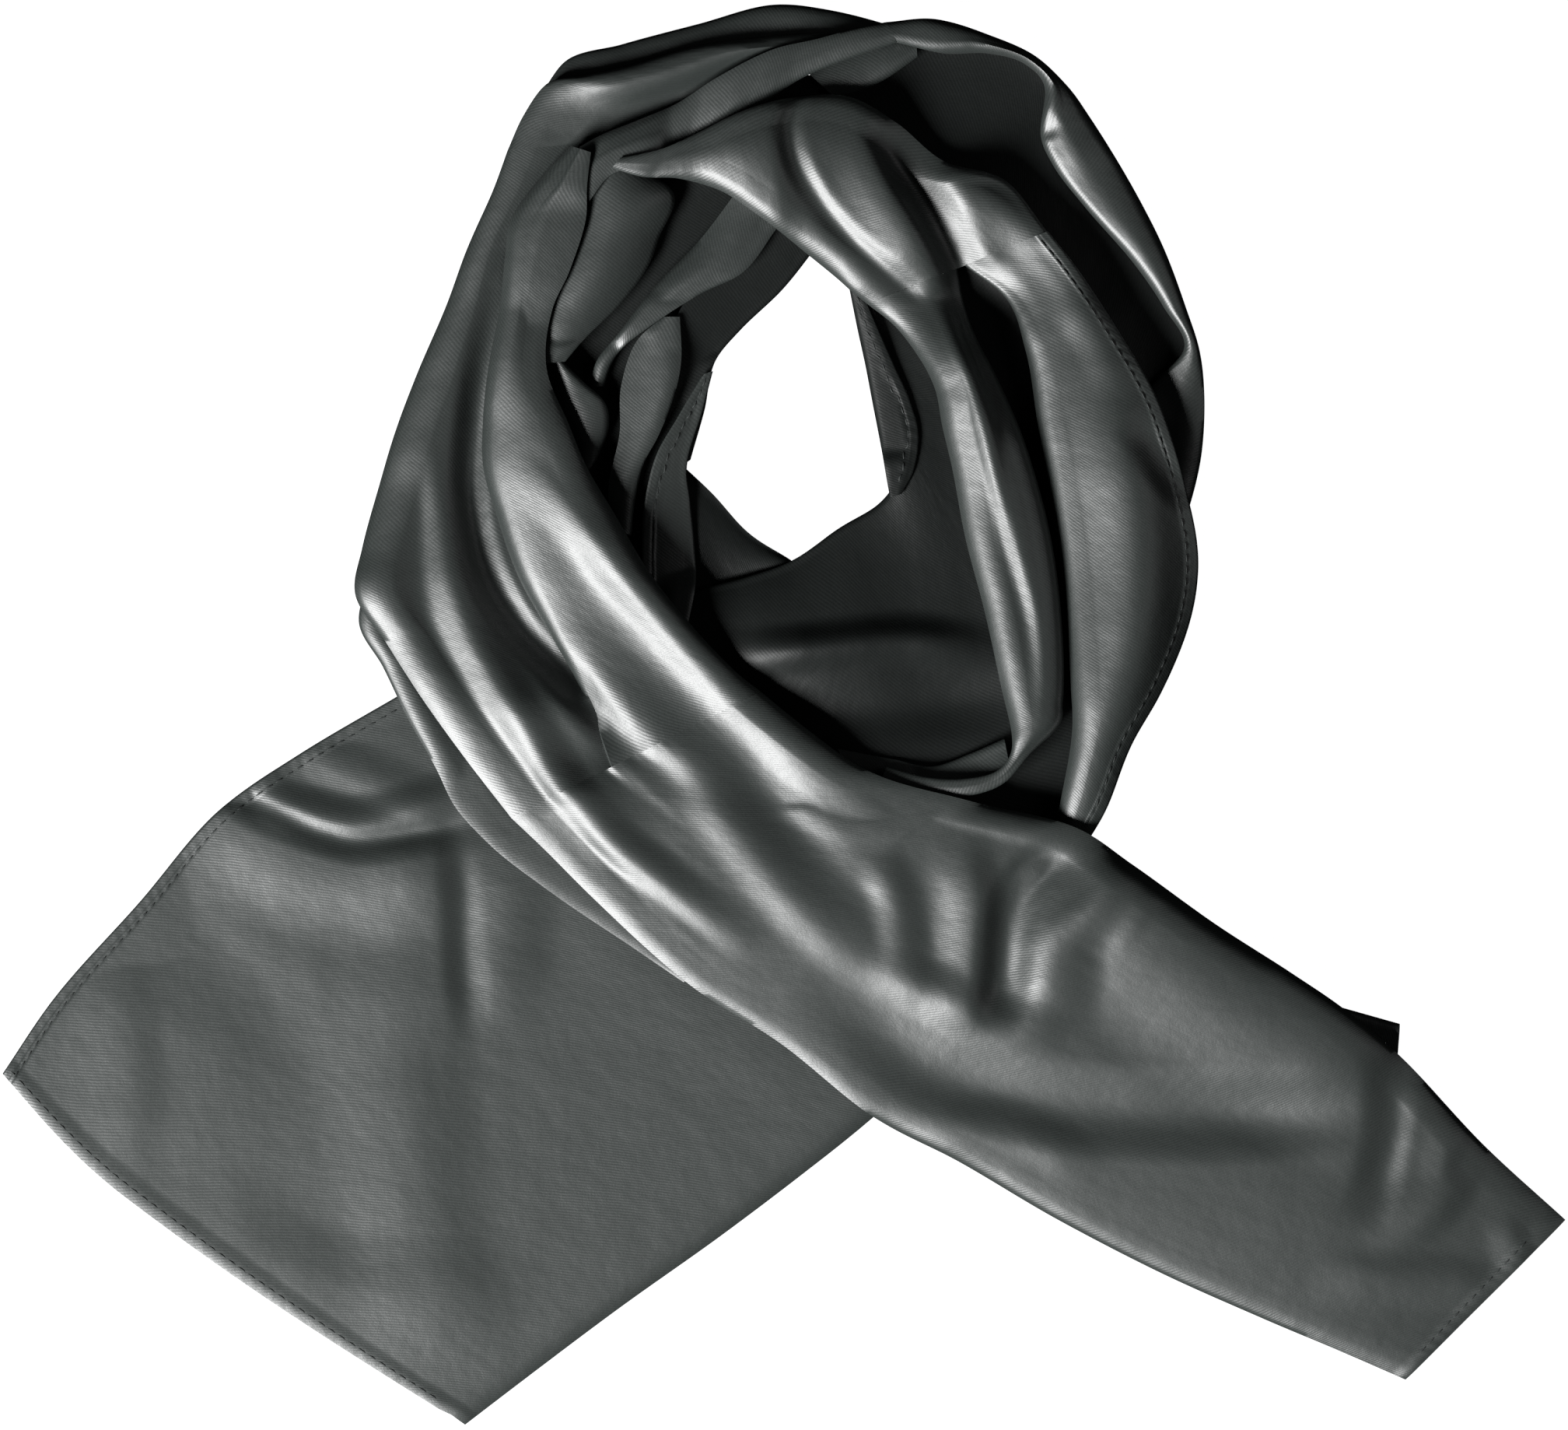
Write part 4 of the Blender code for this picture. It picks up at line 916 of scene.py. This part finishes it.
def stretch_grids(stretch, ceiling, tops_made):
    """The outer and the inner points of a stretch, row by row, in millimetres, and its top alone."""
    rows, at = section_rows(stretch)
    along_share = at / at[-1]
    a_line, b_line, levels = rows[:, 0:2], rows[:, 2:4], rows[:, 4:7]
    across = b_line - a_line
    width = np.linalg.norm(across, axis=1)
    inward = across / width[:, None]
    a_reach, a_lip = edge_sizes(width, along_share, stretch.a_edge, stretch.b_edge)
    b_reach, b_lip = edge_sizes(width, along_share, stretch.b_edge, stretch.a_edge)
    distance = top_distances(width, a_reach, b_reach, stretch.stitched)
    share = distance / width[:, None]
    top = np.empty((*share.shape, 3))
    top[..., 0:2] = a_line[:, None] + share[..., None] * across[:, None]
    top = bowed(top, rows, share, stretch.bow)
    level = across_fade(share, levels[:, 0, None], levels[:, 1, None], levels[:, 2, None])
    for fold in stretch.folds:
        level = level + fold_height(top[..., 0], top[..., 1], fold)
    level = np.maximum(level, WALL)
    level = joined(level, top, at, [tops_made[name] for name in stretch.joins])
    feet = {}
    edges = (("a", a_line, inward, a_reach, a_lip), ("b", b_line, -inward, b_reach, b_lip))
    for side, line, way, reach, lip in edges:
        feet[side] = edge_foot(line, way, reach, lip, ceiling)
        if reach.max() > 0:
            from_edge = distance if side == "a" else width[:, None] - distance
            zone = (reach + lip)[:, None]
            least = feet[side][:, None] + 2 * WALL + INNER_GAP
            level = level + np.maximum(least - level, 0) * (1 - ramp(from_edge, zone, zone * 1.8 + 1))
    excess = clear_level(top[..., 0], top[..., 1], ceiling) + WALL - level
    level = level + draped_lift(excess)
    tops = level.copy()
    row_place = at[:, None] + np.zeros_like(distance)
    hems = {
        "a": (distance, row_place, 1.0),
        "b": (width[:, None] - distance, row_place, 2.0),
        "start": (row_place, distance, 3.0),
        "end": (at[-1] - row_place, distance, 4.0),
    }
    for side in stretch.stitched:
        tops += hem_relief(*hems[side])
    top[..., 2] = tops
    under = top.copy()
    under[..., 2] = 0 if stretch.solid else np.minimum(level - WALL, tops - WALL)
    outer, inner = [top], [under]
    if stretch.a_edge is not PLAIN:
        found = round_edge(a_line, inward, top[:, 0, 2], feet["a"], a_reach, a_lip)
        outer.insert(0, found[0])
        inner.insert(0, found[1])
    if stretch.b_edge is not PLAIN:
        found = round_edge(b_line, -inward, top[:, -1, 2], feet["b"], b_reach, b_lip)
        outer.append(found[0][:, ::-1])
        inner.append(found[1][:, ::-1])
    return np.concatenate(outer, axis=1), np.concatenate(inner, axis=1), top


def cloth_lengths(grid):
    """Each point's distance along and across the cloth, in millimetres."""
    across = np.linalg.norm(np.diff(grid, axis=1), axis=-1)
    across = np.concatenate([np.zeros((len(grid), 1)), np.cumsum(across, axis=1)], axis=1)
    along = np.linalg.norm(np.diff(grid, axis=0), axis=-1).mean(axis=1)
    along = np.concatenate([[0], np.cumsum(along)])[:, None] + np.zeros_like(across)
    return along, across


def placed(name, data):
    """A new object made of this data, in the scene."""
    made = bpy.data.objects.new(name, data)
    bpy.context.scene.collection.objects.link(made)
    return made


def closed_wall(name, outer, inner, material):
    """One closed mesh object through the outer and the inner points, with the weave's UV map."""
    rows, columns = outer.shape[:2]
    points = np.concatenate([outer.reshape(-1, 3), inner.reshape(-1, 3)]) * MM
    number = np.arange(rows * columns).reshape(rows, columns)
    square = (number[:-1, :-1], number[1:, :-1], number[1:, 1:], number[:-1, 1:])
    skin = np.stack(square, axis=-1).reshape(-1, 4)
    lining = skin[:, ::-1] + rows * columns
    rim = np.concatenate([number[:, 0], number[-1, 1:], number[-2::-1, -1], number[0, -2:0:-1]])
    following = np.roll(rim, -1)
    sides = np.stack([rim, rim + rows * columns, following + rows * columns, following], axis=-1)
    faces = np.concatenate([skin, lining, sides])
    mesh = bpy.data.meshes.new(name)
    mesh.from_pydata(points.tolist(), [], faces.tolist())
    along, across = cloth_lengths(outer)
    place = np.stack([along.reshape(-1), across.reshape(-1)], axis=-1) * MM
    place = np.concatenate([place, place])
    weave = mesh.uv_layers.new(name="weave")
    corners = np.empty(len(mesh.loops), np.int32)
    mesh.loops.foreach_get("vertex_index", corners)
    weave.data.foreach_set("uv", place[corners].astype(np.float32).reshape(-1))
    shell = bmesh.new()
    shell.from_mesh(mesh)
    bmesh.ops.recalc_face_normals(shell, faces=shell.faces)
    shell.to_mesh(mesh)
    shell.free()
    mesh.shade_smooth()
    mesh.set_sharp_from_angle(angle=math.radians(SHARP_ANGLE))
    mesh.materials.append(material)
    return placed(name, mesh)


def link(tree, start, socket, end, name):
    """A link from one node's output to another's input."""
    tree.links.new(start.outputs[socket], end.inputs[name])


def node(tree, kind, **settings):
    """A shader node with its settings, and with its input values where the setting's name is an input."""
    made = tree.nodes.new(kind)
    for name, value in settings.items():
        if name in made.inputs:
            made.inputs[name].default_value = value
        else:
            setattr(made, name, value)
    return made


def new_material(name, roughness):
    """A new material with its tree of nodes and its shader."""
    material = bpy.data.materials.new(name)
    material.use_nodes = True
    shader = material.node_tree.nodes["Principled BSDF"]
    shader.inputs["Roughness"].default_value = roughness
    return material, material.node_tree, shader


def satin(name, dark, light, roughness, specular):
    """The charcoal satin: a dark ground, a soft sheen and the weave's fine slanting ribs; with darker tones
    and less sheen it is the painted-shade copy.
    """
    material, tree, shader = new_material(name, roughness)
    shader.inputs["Specular IOR Level"].default_value = specular

    place = node(tree, "ShaderNodeUVMap", uv_map="weave")
    turned = node(tree, "ShaderNodeMapping", vector_type="POINT")
    turned.inputs["Rotation"].default_value = (0.0, 0.0, math.radians(WEAVE_ANGLE))
    link(tree, place, "UV", turned, "Vector")
    ribs = node(tree, "ShaderNodeTexWave", wave_type="BANDS", bands_direction="X", wave_profile="SIN")
    ribs.inputs["Scale"].default_value = 2 * math.pi / (WAVE_RATE * WEAVE_PITCH * MM)
    ribs.inputs["Distortion"].default_value = 1.2
    ribs.inputs["Detail"].default_value = 1.0
    ribs.inputs["Detail Scale"].default_value = 0.4
    link(tree, turned, "Vector", ribs, "Vector")
    grain = node(
        tree, "ShaderNodeTexNoise", noise_dimensions="3D", Scale=GRAIN_SCALE, Detail=2.0, Roughness=0.7
    )
    link(tree, place, "UV", grain, "Vector")
    cloud = node(
        tree, "ShaderNodeTexNoise", noise_dimensions="3D", Scale=CLOUD_SCALE, Detail=3.0, Roughness=0.55
    )
    link(tree, place, "UV", cloud, "Vector")

    tone = node(tree, "ShaderNodeMix", data_type="RGBA", blend_type="MIX")
    tone.inputs["A"].default_value = dark
    tone.inputs["B"].default_value = light
    mixed = node(tree, "ShaderNodeMath", operation="MULTIPLY_ADD")
    mixed.inputs[1].default_value = 1.0 - RIB_SHARE
    link(tree, grain, "Fac", mixed, 0)
    rib_tone = node(tree, "ShaderNodeMath", operation="MULTIPLY")
    rib_tone.inputs[1].default_value = RIB_SHARE
    link(tree, ribs, "Fac", rib_tone, 0)
    tree.links.new(rib_tone.outputs[0], mixed.inputs[2])
    tree.links.new(mixed.outputs[0], tone.inputs["Factor"])
    tree.links.new(tone.outputs["Result"], shader.inputs["Base Color"])

    rib_bump = node(tree, "ShaderNodeBump", Strength=0.35, Distance=RIB_BUMP)
    link(tree, mixed, "Value", rib_bump, "Height")
    cloud_bump = node(tree, "ShaderNodeBump", Strength=0.35, Distance=CLOUD_BUMP)
    link(tree, cloud, "Fac", cloud_bump, "Height")
    link(tree, rib_bump, "Normal", cloud_bump, "Normal")
    link(tree, cloud_bump, "Normal", shader, "Normal")
    return material


def thread():
    """The sewing thread of the hems, a shade lighter than the satin and dull."""
    material, tree, shader = new_material("hem_thread", THREAD_ROUGHNESS)
    shader.inputs["Specular IOR Level"].default_value = 0.3
    place = node(tree, "ShaderNodeTexCoord")
    twist = node(tree, "ShaderNodeTexNoise", noise_dimensions="3D", Scale=900.0, Detail=2.0)
    link(tree, place, "Object", twist, "Vector")
    tone = node(tree, "ShaderNodeMix", data_type="RGBA", blend_type="MIX")
    tone.inputs["A"].default_value = THREAD_DARK
    tone.inputs["B"].default_value = THREAD_LIGHT
    link(tree, twist, "Fac", tone, "Factor")
    tree.links.new(tone.outputs["Result"], shader.inputs["Base Color"])
    return material


def stitches(name, line, up, material):
    """A row of machine stitches along a line on the cloth, each one a short bead sunk at both ends."""
    steps = np.linalg.norm(np.diff(line, axis=0), axis=1)
    stops = np.concatenate([[0], np.cumsum(steps)])
    points, faces = [], []
    sides, rings = STITCH_SIDES, STITCH_RINGS
    for start in np.arange(STITCH_PITCH * 0.5, stops[-1] - STITCH_PITCH, STITCH_PITCH):
        shares = np.linspace(0, 1, rings)
        at = start + shares * STITCH_LENGTH
        middle = np.stack([np.interp(at, stops, line[:, k]) for k in range(3)], axis=1)
        normal = np.array([np.interp(start, stops, up[:, k]) for k in range(3)])
        normal /= np.linalg.norm(normal)
        run = middle[-1] - middle[0]
        run /= np.linalg.norm(run)
        side = np.cross(normal, run)
        arch = np.sin(math.pi * shares)
        first = len(points)
        for j in range(rings):
            centre = middle[j] + normal * (STITCH_RISE * arch[j] - STITCH_SINK)
            size = STITCH_RADIUS * (0.45 + 0.55 * arch[j])
            for k in range(sides):
                turn = 2 * math.pi * k / sides
                points.append(centre + size * (side * math.cos(turn) * 1.3 + normal * math.sin(turn)))
        for j in range(rings - 1):
            for k in range(sides):
                low, high = first + j * sides, first + (j + 1) * sides
                faces.append((low + k, low + (k + 1) % sides, high + (k + 1) % sides, high + k))
        faces.append(tuple(first + k for k in reversed(range(sides))))
        faces.append(tuple(first + (rings - 1) * sides + k for k in range(sides)))
    mesh = bpy.data.meshes.new(name)
    mesh.from_pydata((np.array(points) * MM).tolist(), [], faces)
    mesh.shade_smooth()
    mesh.materials.append(material)
    made = placed(name, mesh)
    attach(made, "root")
    return made


def grid_normals(grid):
    """The way up from the cloth at each point of a grid."""
    along = np.gradient(grid, axis=0)
    across = np.gradient(grid, axis=1)
    normal = np.cross(across, along)
    normal *= np.where(normal[..., 2:3] < 0, -1, 1)
    return normal / np.linalg.norm(normal, axis=-1)[..., None]


def hem_line(top, side):
    """The line along which a hem is stitched, on the top of the cloth, and the way up along it."""
    normals = grid_normals(top)
    if side in ("start", "end"):
        order, ups = (top, normals) if side == "start" else (top[::-1], normals[::-1])
        away = np.linalg.norm(np.diff(order[:, top.shape[1] // 2, :2], axis=0), axis=1)
        row = int(np.searchsorted(np.cumsum(away), HEM_SEAM)) + 1
        return order[row], ups[row]
    order = top if side == "a" else top[:, ::-1]
    ups = normals if side == "a" else normals[:, ::-1]
    away = np.linalg.norm(np.diff(order[:, :, :2], axis=1), axis=-1).cumsum(axis=1)
    column = np.clip((away < HEM_SEAM).sum(axis=1) + 1, 1, order.shape[1] - 2)
    picked = np.arange(len(order))
    return order[picked, column], ups[picked, column]


def soft_light(name, location, size, power):
    """A white area light aimed at the middle of the object."""
    data = bpy.data.lights.new(name, "AREA")
    data.shape = "RECTANGLE"
    data.size, data.size_y = size
    data.energy = power
    made = placed(name, data)
    made.location = location
    made.rotation_euler = (-Vector(location)).to_track_quat("-Z", "Y").to_euler()
    made.visible_camera = False


def floor():
    """A pale seamless table top that lights nothing else."""
    mesh = bpy.data.meshes.new("floor")
    reach = FLOOR_REACH
    corners = [(-reach, -reach, 0), (reach, -reach, 0), (reach, reach, 0), (-reach, reach, 0)]
    mesh.from_pydata(corners, [], [(0, 1, 2, 3)])
    material, _, shader = new_material("pale_table", FLOOR_ROUGHNESS)
    shader.inputs["Base Color"].default_value = FLOOR_TONE
    shader.inputs["Emission Color"].default_value = (1.0, 1.0, 1.0, 1.0)
    shader.inputs["Emission Strength"].default_value = 1.0
    mesh.materials.append(material)
    made = placed("floor", mesh)
    made.location = (0.0, 0.0, -FLOOR_DROP)
    made.visible_diffuse = False
    made.visible_glossy = False


def studio():
    """A strong soft light at the lower left, a weak one at the right, and dim surroundings."""
    soft_light("key_left", KEY_PLACE, KEY_SIZE, KEY_POWER)
    soft_light("rim_right", RIM_PLACE, RIM_SIZE, RIM_POWER)
    world = bpy.data.worlds.new("studio")
    world.use_nodes = True
    world.node_tree.nodes["Background"].inputs["Color"].default_value = WORLD_TONE
    world.node_tree.nodes["Background"].inputs["Strength"].default_value = WORLD_STRENGTH
    bpy.context.scene.world = world
    bpy.context.scene.view_settings.view_transform = "Standard"


def camera():
    """A long lens straight above, framed as the photograph is."""
    data = bpy.data.cameras.new("camera")
    data.sensor_width = SENSOR_WIDTH
    data.lens = data.sensor_width * CAMERA_HEIGHT / FRAME_WIDTH
    data.clip_end = 20.0
    made = placed("camera", data)
    made.location = (0.0, CAMERA_SHIFT, CAMERA_HEIGHT)
    bpy.context.scene.camera = made


def main():
    face = satin("charcoal_satin", SATIN_DARK, SATIN_LIGHT, SATIN_ROUGHNESS, SATIN_SPECULAR)
    # The darker, duller copy of the satin is painted shade for the hollows deep in the loop.
    back = satin("charcoal_satin_back", SHADED_SATIN_DARK, SHADED_SATIN_LIGHT, SHADED_SATIN_ROUGHNESS, SHADED_SATIN_SPECULAR)
    sewn = thread()
    maps, tops_made = {}, {}
    for stretch in STRETCHES:
        under = [made for name, made in maps.items() if name not in stretch.beside]
        ceiling = np.max(under, axis=0) if under else empty_map()
        outer, inner, top = stretch_grids(stretch, ceiling, tops_made)
        maps[stretch.name] = height_map(top)
        tops_made[stretch.name] = top
        # Stretches flagged for painted shade take the darker copy of the satin.
        piece = closed_wall(stretch.name + "_cloth", outer, inner, back if stretch.back_up else face)
        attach(piece, "root")
        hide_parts(stretch.name)
        for side in stretch.stitched:
            line, up = hem_line(top, side)
            stitches(f"{stretch.name}_stitches_{side}", line, up, sewn)
    floor()
    studio()
    camera()


main()
